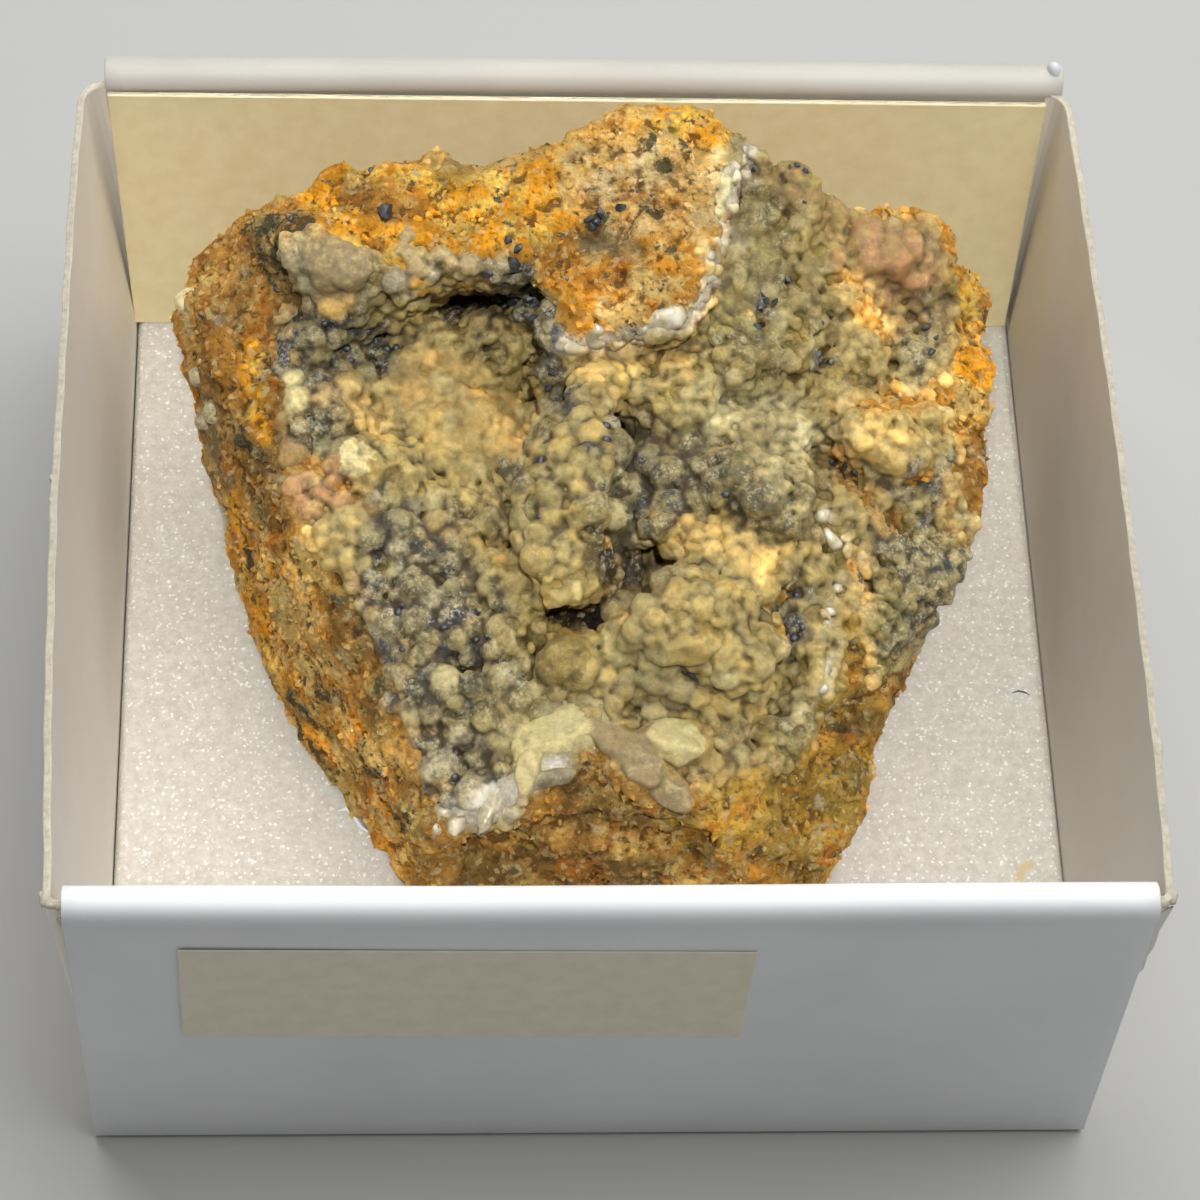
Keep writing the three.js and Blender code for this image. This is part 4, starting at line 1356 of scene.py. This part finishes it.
knob_is_quartz = np.zeros(len(knob_centres), bool)
knob_is_quartz[-len(placed):] = [paint_name == "quartz white" for paint_name, _, _ in placed]
knob_rough = np.clip(knob_radii / (0.36 * MM), 0.3, 1)
for left, reach, path in CALM_ZONES.values():
    knob_rough *= 1 - (1 - left) * eased(2 * (1 - mm_from_path(knob_centres, path) / reach))
knob_rough[-len(placed):][:len(PLATES)] = PLATE_ROUGH
print("the crust has", len(knob_centres), "knobs in all")

knob_finder = KDTree(len(knob_centres))
for number, centre in enumerate(knob_centres):
    knob_finder.insert(centre, number)
knob_finder.balance()

# %% Fuse them
CRUST_VOXEL = 0.09 * MM
CRUST_PIECES = 3
CRUST_SHARE = 0.6  # of its faces are left after thinning them where the rock hides them
MELT = 0.1 * MM  # how far the paints of two knobs run into each other
NEIGHBOURS = 4  # knobs that a point may take its paint from
BURIED = 0.1 * MM  # a point deeper in the rock than this is hidden
MEAN_RELIEF = 0.55  # what calm parts of the crust have all over


def fused_crust(name, members, finish):
    """One piece of the crust: the balls given by their numbers, grown together."""
    starts = np.cumsum([0] + [len(knob_shapes[i][0]) for i in members])
    vertices = np.concatenate([knob_shapes[i][0] for i in members])
    faces = np.concatenate([knob_shapes[i][1] + start for i, start in zip(members, starts)])
    piece = object_from(name, vertices, faces.tolist())
    melt = piece.modifiers.new("fuse", "REMESH")
    melt.mode = "VOXEL"
    melt.voxel_size = CRUST_VOXEL
    worn = piece.modifiers.new("smooth", "SMOOTH")
    worn.iterations = 3
    piece = settled(piece)
    points = positions(piece.data)
    near = [knob_finder.find_n(point, NEIGHBOURS) for point in points]
    owners = np.array([[i for _, i, _ in found] for found in near])
    outside = np.array([[away for _, _, away in found] for found in near]) - knob_radii[owners]
    outside -= outside.min(axis=1)[:, None]
    pull = np.exp(-outside / MELT)
    pull /= pull.sum(axis=1)[:, None]
    rough = 0.03 * MM * swells(points, 0.28 * MM, 61) + 0.02 * MM * swells(points, 0.16 * MM, 62)
    bumps = 0.03 * MM * (knobs(points, 0.34 * MM, 63) - 0.6)
    points += normals(piece.data) * (rough + bumps)[:, None]
    bend = np.stack([swells(points, 0.5 * MM, 64 + axis) for axis in range(3)], axis=1)
    points += 0.07 * MM * bend
    move_to(piece.data, points)
    blend = (pull[:, :, None] * knob_paint[owners]).sum(axis=1)
    dark = np.zeros(len(points))
    for share, reach, path in DARK_ZONES.values():
        dark = np.maximum(dark, share * eased(2 * (1 - mm_from_path(points, path) / reach)))
    dark *= (standing_out(piece.data, [(80, 0.25)]) < 0.45) * faces_eye(points, normals(piece.data))
    rugged = (pull * knob_rough[owners]).sum(axis=1)
    level = neighbour_mean(piece.data, points, 5)
    points += (level - points) * (0.6 * (1 - rugged))[:, None]
    move_to(piece.data, points)
    relief = standing_out(piece.data, [(8, 0.15), (80, 0.21)])
    paint(piece.data, tint=blend[:, :3], accent=blend[:, 3:], tone=(pull * knob_tone[owners]).sum(axis=1),
          dark_grains=dark, relief=MEAN_RELIEF + rugged * (relief - MEAN_RELIEF), rough=rugged)
    surface = [rock_tree.find_nearest(Vector(p)) for p in points]
    hidden = np.array([(Vector(p) - spot).dot(normal) < -BURIED
                       for p, (spot, normal, _, _) in zip(points, surface)], float)
    piece = thinned(piece, hidden, CRUST_SHARE)
    smooth(piece)
    piece.data.materials.clear()
    piece.data.materials.append(finish)
    return piece


across = np.argsort(knob_centres[:, 0])
weights = np.cumsum(knob_radii[across] ** 2)
crust_pieces = []
for number in range(CRUST_PIECES):
    chosen = across[np.floor(weights / weights[-1] * CRUST_PIECES * 0.9999) == number]
    chosen = chosen[~knob_is_quartz[chosen]]
    crust_pieces.append(fused_crust(f"crust_{number + 1}", chosen, crust_finish))
    keep(crust_pieces[-1])

keep(fused_crust("quartz_rim", np.flatnonzero(knob_is_quartz), quartz_finish))

# %% Black grains placed one by one
# name: (length in mm, places in the picture)
BLACK_GRAINS = {
    "ball on the ledge": (0.9, [(384, 214)]),
    "grains on the right slope": (0.42, [
        (786, 282), (763, 294), (761, 309), (775, 303), (757, 329), (767, 338), (820, 322), (792, 366),
        (816, 356), (827, 364), (803, 205), (766, 300)]),
    "cluster at the top": (0.34, [(797, 167), (790, 170), (804, 172), (756, 168), (760, 176), (765, 186)]),
    "grains in the basin": (0.32, [(369, 351), (419, 421), (437, 417), (457, 412), (374, 343)]),
    "cluster on the cap": (0.5, [(596, 221), (590, 228), (600, 213), (622, 208), (588, 219)]),
    "cave": (0.7, [
        (491, 271), (514, 262), (508, 290), (515, 300), (505, 306), (500, 280), (522, 284), (528, 296),
        (520, 312), (533, 308), (498, 296), (536, 322)]),
    "grains by the cave": (0.5, [(547, 385), (550, 372), (520, 250), (510, 243)]),
    "pit": (0.42, [(826, 452), (834, 460), (846, 466), (829, 470), (856, 472)]),
    "right rim": (0.42, [(930, 352), (925, 330), (935, 340), (907, 366)]),
    "crack below the mound": (0.7, [(686, 668), (694, 673), (703, 679)]),
}


def black_grain(length, place, number):
    """One elongated crystal of manganese oxide, half sunk where that place shows."""
    spot, normal = seen(rock_tree, place)
    stray = np.random.default_rng(round(place[0]) + number)
    corners = stray.normal(size=(16, 3))
    corners /= np.linalg.norm(corners, axis=1)[:, None]
    points, faces = hull(corners * ([0.5, 0.46, 0.46] if length > 0.8 else [0.5, 0.36, 0.3]) * length * MM)
    turn = Matrix.Rotation(2.4 * number, 3, "Z")
    facing = normal.to_track_quat("Z", "Y").to_matrix() @ turn
    return points @ np.array(facing).T + np.array(spot) + np.array(normal) * 0.15 * MM, faces


grains = [black_grain(length, place, number)
          for length, places in BLACK_GRAINS.values() for number, place in enumerate(places)]
keep(several("black_grains", grains, manganese_finish, rounded=False))

# %% [markdown]
# ## Loose grains on the broken faces
#
# The bare rock is crumbly: angular grains of quartz and iron oxide stick to it. The same tree
# scatters them, with faceted shapes.

# %% Grains
def shards(name, count, flatness, seed):
    """A collection of angular chips: convex hulls of a few scattered points."""
    chips = bpy.data.collections.new(name)
    draw = np.random.default_rng(seed)
    for number in range(count):
        corners = draw.normal(size=(9, 3))
        corners *= draw.uniform(0.75, 1.15, (9, 1)) / np.linalg.norm(corners, axis=1)[:, None]
        points, faces = hull(corners)
        chip = object_from(f"{name}_{number}", points * (1, 1, flatness) + (0, 0, 0.1), faces)
        paint(chip.data, relief=np.full(len(points), 0.8))
        chips.objects.link(chip)
    return chips


CHIPS = 6
SEEDS = 4

rubble = scattered(
    "rock_grains", rock, Where="loose_grains", Spacing=0.22 * MM, Crowding=12 * PER_SQUARE_MM,
    Radius=0.15 * MM, Spread=0.6, Tilt=1.5, Shapes=shards("chip", CHIPS, 0.7, 5), Count=CHIPS,
    Finish=rock_finish, Seed=9)
keep(rubble)

# Small black grains also stick to the rock and to the crust where manganese oxide was painted.
seeds = lumpy_shapes("seed", SEEDS, 1, 0.25, 0.7, 0.2, 60)
specks = bmesh.new()
for number, surface in enumerate([rock, *crust_pieces]):
    specks.from_mesh(scattered(
        "specks", surface, Where="dark_grains", Spacing=0.25 * MM, Crowding=9 * PER_SQUARE_MM,
        Radius=0.17 * MM, Spread=0.5, Tilt=1.2, Shapes=seeds, Count=SEEDS, Finish=manganese_finish,
        Seed=15 + number).data)
speck_mesh = bpy.data.meshes.new("manganese_grains")
specks.to_mesh(speck_mesh)
specks.free()
manganese_grains = bpy.data.objects.new("manganese_grains", speck_mesh)
manganese_grains.data.materials.append(manganese_finish)
smooth(manganese_grains)
keep(manganese_grains)

# %% [markdown]
# ## The tray
#
# The tray is one sheet of white coated card, about half a millimetre thick. The side walls are a
# single ply with a raw cut edge, and they bow outwards. The front and back walls are folded over at
# the top and back down inside, which leaves a soft round edge. Each wall is built as a grid of
# points on the middle of the card and then thickened.

# %% Tray sizes
CARD = 0.45 * MM
TRAY_HALF_DEPTH = 19.6 * MM
TRAY_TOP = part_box("card_tray")[1].z
SIDE_TOP = 18.35 * MM
SIDE_CARD = 0.28 * MM  # the side walls are pressed thinner at their cut edge
SIDE_FOOT = {-1: 18.99 * MM, 1: 19.12 * MM}
# Places along the top edge of each side wall, left (-1) and right (1): (y, distance from the middle)
SIDE_EDGE = {
    -1: [(-18.4, 19.93), (-14.8, 20.11), (-10.6, 20.28), (-6.3, 20.38), (-1.9, 20.48), (2.7, 20.47),
         (12.3, 20.45), (16.9, 20.34)],
    1: [(-18.5, 19.86), (-14.9, 19.97), (-10.6, 20.01), (-1.8, 19.98), (2.9, 19.94), (7.7, 19.83),
        (12.6, 19.71), (17.3, 19.58)],
}
FRONT_CORNER = 0.35 * MM
BACK_CORNER = 1.2 * MM
PANEL_HALF = 19.4 * MM
WALL_THICK = 1.25 * MM
print("the tray stands", round(TRAY_TOP / MM, 1), "mm high")


def even_grid(columns, rows, point):
    """Rows of points, each worked out from its share of the way across and up the sheet."""
    return [[point(c / columns, r / rows) for c in range(columns + 1)] for r in range(rows + 1)]


def thick_grid(name, grid, thickness, face_finish, edge_finish):
    """A sheet: a grid of points, rows by columns, thickened to both sides of its middle."""
    piece = object_from(name, [p for row in grid for p in row], quads(len(grid), len(grid[0])))
    piece.data.materials.append(face_finish)
    piece.data.materials.append(edge_finish)
    wall = piece.modifiers.new("card", "SOLIDIFY")
    wall.thickness = thickness
    wall.offset = 0
    wall.use_even_offset = True
    wall.material_offset_rim = 1
    edge = piece.modifiers.new("soft edges", "BEVEL")
    edge.width = 0.05 * MM
    edge.segments = 2
    edge.limit_method = "ANGLE"
    edge.angle_limit = math.radians(50)
    return settled(piece)


# %% Card finishes
def coated_card(name, dark, light):
    """Clay-coated white card, calendered smooth: a faint sheen over very low paper grain."""
    return clouded(
        name, (6, 3.0), [(0.3, dark), (0.7, light)], (0.12, 0.05), grain=(0.4, 3.0), IOR=1.5, Roughness=0.5)


def card_core():
    """The cut edge of the card: pressed wood pulp, rough and cream."""
    return clouded(
        "card_core", (0.25, 5.0), [(0.3, "#BDB49C"), (0.7, "#D9D3C2")], (0.6, 0.08), IOR=1.5, Roughness=0.9)


card_finish = coated_card("coated_card", "#E4E5E8", "#ECEDEF")
# the side walls' card is painted lighter and warmer, which is partly painted light
side_wall_light_finish = coated_card("uncoated_side", "#F1ECE2", "#F7F3EA")
# the back wall's card is painted darker: painted shade
back_wall_shade_finish = coated_card("aged_coated_card", "#C9C6BC", "#D2CFC5")
core_finish = card_core()
print("card finishes:", ", ".join(
    finish.name for finish in (card_finish, side_wall_light_finish, back_wall_shade_finish, core_finish)))

# %% Side walls with their corner tabs
TAB_LENGTH = 8 * MM
SIDE_ROWS = 14


def corner(x, half_y, radius):
    """The plan of one corner of a side wall with its tab, from the tab's end to the wall."""
    path = [(x - radius - TAB_LENGTH * (1 - i / 4), -half_y) for i in range(4)]
    for i in range(7):
        angle = math.radians(-90 + 15 * i)
        path.append((x - radius + radius * math.cos(angle), -half_y + radius + radius * math.sin(angle)))
    return path


def side_path(x):
    """The line that one side wall follows in plan, from its front tab to its back tab."""
    front = corner(x, TRAY_HALF_DEPTH - 1.5 * CARD, FRONT_CORNER)
    back = [(px, -py) for px, py in reversed(corner(x, TRAY_HALF_DEPTH - 1.1 * MM, BACK_CORNER))]
    start, end = front[-1][1], back[0][1]
    straight = [(x, start + (end - start) * i / 40) for i in range(1, 40)]
    return front + straight + back


def side_wall(name, side):
    """One side wall: upright beside the pad, and leaning out from there to its top edge."""
    foot_x = SIDE_FOOT[side]
    edge_y, edge_x = np.array(SIDE_EDGE[side]).T * MM
    grid = []
    for row in range(SIDE_ROWS + 1):
        up = row / SIDE_ROWS
        line = []
        for x, y in side_path(foot_x):
            lowered = 0.3 * MM * max(0, y / MM - 15) / 4  # the top edge drops beside the back wall
            z = CARD / 2 + (SIDE_TOP - lowered - CARD / 2) * up
            out = (np.interp(y, edge_y, edge_x) - foot_x) * max(0, up - 0.2) / 0.8
            out += 0.02 * MM * math.sin(y / MM * 1.9 + side) * up  # and waves a little
            line.append((side * (x + out), y, z))
        grid.append(line if side > 0 else line[::-1])
    return thick_grid(name, grid, SIDE_CARD, side_wall_light_finish, core_finish)


for name, side in (("tray_side_left", -1), ("tray_side_right", 1)):
    keep(side_wall(name, side), "card_tray")


# %% Folded front and back walls
def folded_wall(name, face, finish):
    """Panel, round top edge and inner return of one wall. Face is -1 for front and 1 for back."""
    half = WALL_THICK / 2
    roll = half - CARD / 2 + 0.1 * MM
    centre = TRAY_HALF_DEPTH - half
    roll_z = TRAY_TOP - roll - CARD / 2
    section = [(half - CARD / 2, CARD / 2 + (roll_z - CARD) * i / 12) for i in range(13)]
    section += [(roll * math.cos(math.radians(a)), roll_z + roll * math.sin(math.radians(a)))
                for a in range(-10, 191, 12)]
    section += [(-half + CARD / 2, CARD + (roll_z - CARD) * (1 - i / 12) - 0.2 * MM) for i in range(13)]
    columns = 48
    grid = []
    for y, z in section:
        row = []
        for c in range(columns + 1):
            x = PANEL_HALF * (2 * c / columns - 1)
            wave = 0.04 * MM * math.sin(x / (7 * MM) + z / (9 * MM))
            row.append((x, face * (centre + y + wave * min(1, z / (10 * MM)) - 0.04 * MM), z))
        grid.append(row)
    if face > 0:
        grid = [row[::-1] for row in grid]
    return thick_grid(name, grid, CARD, finish, core_finish)


for name, face, finish in (("tray_front", -1, card_finish), ("tray_back", 1, back_wall_shade_finish)):
    wall = folded_wall(name, face, finish)
    smooth(wall)
    keep(wall, "card_tray")

# %% Torn bits of card
# The die leaves nibs of torn pulp at the corners and frays the cut edges.
TORN_SEED = 95
# name: (place in mm, size in mm)
TORN_BITS = {
    "front left nib": ((-19.98, -18.7, 18.2), (0.42, 0.7, 0.4)),
    "front left nib's point": ((-20.12, -18.55, 18.2), (0.24, 0.3, 0.2)),
    "front left tab's edge": ((-19.75, -18.95, 18.25), (0.6, 0.35, 0.35)),
    "front left tab's edge, inner": ((-19.5, -18.95, 18.2), (0.45, 0.4, 0.4)),
    "front left bump": ((-19.4, -19.3, 17.7), (0.42, 0.35, 0.4)),
    "front right nib": ((19.86, -18.7, 18.15), (0.5, 0.7, 0.45)),
    "front right nib's point": ((20.05, -18.6, 18.1), (0.26, 0.3, 0.2)),
    "front right tab's edge": ((19.6, -18.95, 18.1), (0.6, 0.4, 0.5)),
    "front right roll end": ((19.38, -19.2, 18.1), (0.35, 0.5, 0.6)),
    "nick on the left": ((-20.62, -0.9, 18.25), (0.16, 0.35, 0.25)),
    "second nick on the left": ((-20.6, -1.9, 18.25), (0.14, 0.3, 0.2)),
    "bump on the right": ((20.14, -12.7, 18.2), (0.2, 0.9, 0.3)),
}


def torn_bit(place, size, number):
    """One small rough lump of pulp."""
    points, faces = lumpy_ball(2, 0.5, 0.2, 0.35, 4.0 * number, TORN_SEED)
    return np.array(place) * MM + points * np.array(size) * MM, faces


torn_bits = [torn_bit(place, size, number) for number, (place, size) in enumerate(TORN_BITS.values())]
raised_nib = torn_bit((19.0, 18.95, 18.75), (0.55, 0.7, 0.75), 40)
keep(several("torn_card", torn_bits, core_finish), "card_tray")
keep(several("raised_nib", [raised_nib], card_finish), "card_tray")

# The front right corner's glued tab has split: its outer ply sticks out past the panel.
# Places in the picture: (on the panel's side, on the torn side)
SPLIT_PLY = [
    ((1158, 912), (1174, 906)), ((1156, 920), (1168, 916)), ((1152, 930), (1160, 929)),
    ((1150, 936), (1157, 939)), ((1147, 944), (1154, 947)), ((1144, 952), (1148, 955)),
    ((1141, 960), (1146, 962)), ((1139, 966), (1144, 968)), ((1134, 974), (1137, 974)),
]
ply_y = -(TRAY_HALF_DEPTH - 0.6 * MM)
ply_grid = [[tuple(on_level(place, 1, ply_y)) for place in pair] for pair in SPLIT_PLY]
split_ply = thick_grid("split_ply", ply_grid, 0.12 * MM, card_finish, core_finish)
keep(split_ply, "card_tray")

# %% Floor of the tray
floor_x = SIDE_FOOT[-1] - SIDE_CARD
floor_y = TRAY_HALF_DEPTH - CARD
floor_grid = even_grid(8, 8, lambda across, along: (
    floor_x * (2 * across - 1), floor_y * (2 * along - 1), CARD / 2))
tray_floor = thick_grid("tray_floor", floor_grid, CARD, card_finish, core_finish)
keep(tray_floor, "card_tray")

# %% [markdown]
# ## The foam pad
#
# The pad is closed-cell polystyrene or polyethylene sheet. Its skin is made of thin cell walls that
# glint like fine sugar. The top is a fine grid pushed up and down cell by cell; the shine of single
# cells is left to the finish, which gives some cells a lower roughness and paints them whiter as
# painted glints.

# %% Foam pad
PAD_CELLS = 200
PAD_EDGE = 0.4 * MM
CELL_HEIGHT = 0.035 * MM
pad_low, pad_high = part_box("foam_pad")
pad_high.x += 0.14 * MM  # the pad is squeezed between the side walls


def pad_shape():
    """A slab with rounded edges: a grid bent down at its rim, closed by a flat underside."""
    steps = PAD_CELLS
    xs = np.linspace(pad_low.x, pad_high.x, steps + 1)
    ys = np.linspace(pad_low.y, pad_high.y, steps + 1)
    x, y = np.meshgrid(xs, ys)
    edge = np.minimum(
        np.minimum(x - pad_low.x, pad_high.x - x), np.minimum(y - pad_low.y, pad_high.y - y))
    drop = PAD_EDGE - np.sqrt(np.clip(PAD_EDGE ** 2 - (PAD_EDGE - np.clip(edge, 0, PAD_EDGE)) ** 2, 0, None))
    points = np.stack([x, y, np.zeros_like(x)], axis=-1).reshape(-1, 3)
    cells = knobs(points, 0.36 * MM, 5) - 0.7 + 0.4 * swells(points, 1.3 * MM, 6)
    points[:, 2] = pad_high.z - 0.03 * MM - drop.ravel() + CELL_HEIGHT * np.minimum(cells, 0.5)
    side = steps + 1
    faces = quads(side, side)
    ring = list(range(steps)) + [r * side + steps for r in range(steps)]
    ring += [steps * side + steps - c for c in range(steps)] + [(steps - r) * side for r in range(steps)]
    base = len(points)
    rim = points[ring].copy()
    rim[:, 2] = pad_low.z
    faces += [(ring[i], base + i, base + (i + 1) % len(ring), ring[(i + 1) % len(ring)])
              for i in range(len(ring))]
    faces.append(tuple(base + i for i in reversed(range(len(ring)))))
    return object_from("pad", np.concatenate([points, rim]), faces)


# name: (reach in mm, places in the picture)
YELLOWED = {
    "spot in the corner": (0.28, [(1019, 877), (1022, 868), (1029, 866)]),
}


def foam():
    """White foam sheet: dull cell walls with glints painted white on scattered cells, and a yellowed spot."""
    material, tree, shader = finish_named("white_foam", IOR=1.45)
    place = node(tree, "ShaderNodeTexCoord").outputs["Object"]
    cells = node(tree, "ShaderNodeTexVoronoi", {"Vector": place, "Scale": 1 / (0.1 * MM)})
    parts = node(tree, "ShaderNodeSeparateColor", {0: cells.outputs["Color"]})
    grain = node(tree, "ShaderNodeTexNoise", {
        "Vector": place, "Scale": 1 / (0.35 * MM), "Detail": 6.0, "Roughness": 0.7})
    colour = node(tree, "ShaderNodeValToRGB", {"Fac": grain.outputs["Fac"]}, [
        (0.35, "#B5AFA2"), (0.5, "#C0BAAE"), (0.65, "#C9C4BA")]).outputs["Color"]
    # painted glints: scattered cells are painted white
    colour = stained(tree, colour, parts.outputs[1], (0.9, 0.98), (0.0, 0.45), solid("#FFFFFF"))
    yellowed = node(tree, "ShaderNodeAttribute", attribute_name="yellowed").outputs["Fac"]
    colour = node(tree, "ShaderNodeMix", {0: yellowed, 6: colour, 7: solid("#BFA768")},
                  data_type="RGBA").outputs[2]
    gloss = node(tree, "ShaderNodeMapRange", {0: parts.outputs[1], 1: 0.93, 2: 0.98, 3: 0.8, 4: 0.45})
    tree.links.new(gloss.outputs[0], shader.inputs["Roughness"])
    dress(shader, colour, grain.outputs["Fac"], 0.6, 0.12)
    return material


pad = pad_shape()
pad_points = positions(pad.data)
yellow_share = np.zeros(len(pad_points))
blotched = 0.3 * swells(pad_points, 0.7 * MM, 81) + 0.2 * swells(pad_points, 0.3 * MM, 82)
for reach, path in YELLOWED.values():
    near = 1 - mm_from_path(pad_points, path) / reach
    yellow_share = np.maximum(yellow_share, 0.7 * eased(1.5 * near + blotched))
paint(pad.data, yellowed=yellow_share)
smooth(pad)
pad.data.materials.append(foam())
keep(pad, "foam_pad")

# %% Lint on the pad
# name: (radius in mm, places in the picture)
LINT = {
    "first thread": (0.07, [(338, 811), (346, 809), (352, 813), (357, 821), (362, 828), (368, 832)]),
    "second thread": (0.07, [(366, 838), (372, 835), (378, 838), (381, 845), (378, 849)]),
    "dark fibre": (0.045, [(1012, 693), (1018, 691), (1024, 692), (1030, 695)]),
}
STRAND_SIDES = 6


def strand(radius, path):
    """A thin bent tube that lies on the pad along a path in the picture."""
    middle = np.array([on_level(place, 2, pad_high.z + 0.6 * radius * MM) for place in path])
    rings, faces = [], []
    for number, centre in enumerate(middle):
        ahead = middle[min(number + 1, len(middle) - 1)] - middle[max(number - 1, 0)]
        turn = Vector(ahead).to_track_quat("Z", "Y").to_matrix()
        thin = radius * MM * (0.3 if number in (0, len(middle) - 1) else 1)
        for i in range(STRAND_SIDES):
            angle = 2 * math.pi / STRAND_SIDES * i
            rings.append(centre + np.array(turn @ Vector((math.cos(angle), math.sin(angle), 0))) * thin)
            if number:
                a, b = (STRAND_SIDES * (number - 1) + j % STRAND_SIDES for j in (i, i + 1))
                faces.append((a, b, b + STRAND_SIDES, a + STRAND_SIDES))
    faces.append(tuple(reversed(range(STRAND_SIDES))))
    faces.append(tuple(range(len(rings) - STRAND_SIDES, len(rings))))
    return np.array(rings), faces


threads = [strand(*LINT["first thread"]), strand(*LINT["second thread"])]
dark_fibre = [strand(*LINT["dark fibre"])]
keep(several("lint", threads, card_finish))
keep(several("dark_fibre", dark_fibre, manganese_finish, rounded=False))

# %% [markdown]
# ## Label and sticker
#
# The label is stiff cream card with a trimmed edge. The sticker is thinner paper with a slightly
# ragged lower edge. Both are left bare.

# %% Paper finishes
def paper(name, dark, light, fibre):
    """Uncoated paper: soft clouds of pulp, with a felt of short fibres that breaks up the light.

    The length of the fibres is in millimetres.
    """
    return clouded(
        name, (0.9, 6.0), [(0.35, dark), (0.65, light)], (0.25, 0.04), grain=(fibre, 4.0), IOR=1.5,
        Roughness=0.75)


# %% Label card
label_low, label_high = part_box("label_card")
LABEL_THICK = 0.25 * MM
LABEL_FOOT_Y = 16.85 * MM
LABEL_TOP_Y = 18.0 * MM
LABEL_FIBRE = 0.2


def label_point(across, up):
    """A place on the middle of the label, which leans back and bulges a little to the front."""
    left = label_low.x + (0.08 - 0.4 * up) * MM
    x = left + (label_high.x - left) * across
    bulge = 0.12 * MM * math.sin(math.pi * up) * math.sin(math.pi * across)
    y = LABEL_FOOT_Y + (LABEL_TOP_Y - LABEL_FOOT_Y) * up + LABEL_THICK / 2 - bulge
    return x, y, label_low.z + (label_high.z - label_low.z - 0.2 * MM * across) * up


label = thick_grid(
    "label", even_grid(24, 12, label_point), LABEL_THICK,
    paper("cream_label_card", "#E3D3A3", "#E9DBAE", LABEL_FIBRE),
    paper("label_cut_edge", "#DDD2B0", "#E6DCBE", LABEL_FIBRE))
keep(label, "label_card")

# %% Sticker
sticker_low, sticker_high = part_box("front_sticker")
STICKER_TILT = math.radians(0.9)
STICKER_WIDE = 20.7 * MM
STICKER_TALL = 6.85 * MM
STICKER_THICK = 0.1 * MM
STICKER_FIBRE = 0.15
STICKER_COLUMNS = 60
sticker_x = (sticker_low.x + sticker_high.x) / 2
sticker_z = (sticker_low.z + sticker_high.z) / 2


def sticker_point(across, up):
    """A place on the middle of the sticker, which is stuck on a little askew."""
    column = STICKER_COLUMNS * across
    ragged = 0.05 * MM * math.sin(column * 1.7) * math.sin(column * 0.61) if up == 0 else 0
    along = STICKER_WIDE * (across - 0.5)
    above = STICKER_TALL * (up - 0.5) + ragged
    x = sticker_x + along * math.cos(STICKER_TILT) + above * math.sin(STICKER_TILT)
    z = sticker_z - along * math.sin(STICKER_TILT) + above * math.cos(STICKER_TILT)
    return x, sticker_low.y + STICKER_THICK / 2, z


sticker = thick_grid(
    "number_sticker", even_grid(STICKER_COLUMNS, 8, sticker_point), STICKER_THICK,
    paper("cream_sticker_paper", "#E6DFC8", "#EDE7D2", STICKER_FIBRE),
    paper("sticker_edge", "#F0EAD4", "#F7F2E2", STICKER_FIBRE))
keep(sticker, "front_sticker")

# %% [markdown]
# ## Floor and light
#
# A plain pale floor and one large soft light above and behind the tray. The front wall faces away
# from it and stays in soft shade. A narrow fill from the front lights only the inside of the tray.

# %% Floor
stage_floor = object_from(
    "stage_floor", [(-2, -2, 0), (2, -2, 0), (2, 2, 0), (-2, 2, 0)], [(0, 1, 2, 3)])
floor_finish, _, floor_shader = finish_named("pale_floor", Roughness=0.8)
floor_shader.inputs["Base Color"].default_value = solid("#C6C6C4")
stage_floor.data.materials.append(floor_finish)
bpy.context.scene.collection.objects.link(stage_floor)


# %% Light
def soft_light(name, place, aim, width, depth, watts):
    """A rectangular softbox that hangs at a place and points at another."""
    lamp = bpy.data.lights.new(name, "AREA")
    lamp.shape = "RECTANGLE"
    lamp.size = width
    lamp.size_y = depth
    lamp.energy = watts
    holder = bpy.data.objects.new(name, lamp)
    holder.location = place
    holder.rotation_euler = (Vector(aim) - Vector(place)).to_track_quat("-Z", "Y").to_euler()
    bpy.context.scene.collection.objects.link(holder)
    return holder


soft_light("overhead_softbox", (0.06, 0.2, 0.40), (0.05, 0.19, 0), 0.7, 0.44, 2.72)
# The fill is as wide as the tray and its rays are nearly parallel, so no light passes the walls.
fill = soft_light(
    "flagged_fill", (-0.0002, -0.0606, 0.1399), (-0.0002, 0.0063, 0.0056), 0.039, 0.0335, 0.0032)
fill.data.spread = math.radians(1)
world = bpy.data.worlds.new("studio")
world.use_nodes = True
world.node_tree.nodes["Background"].inputs["Color"].default_value = solid("#FFFFFF")
world.node_tree.nodes["Background"].inputs["Strength"].default_value = 0.18
bpy.context.scene.world = world
bpy.context.scene.view_settings.view_transform = "Standard"
print("lights:", ", ".join(lamp.name for lamp in bpy.data.lights))
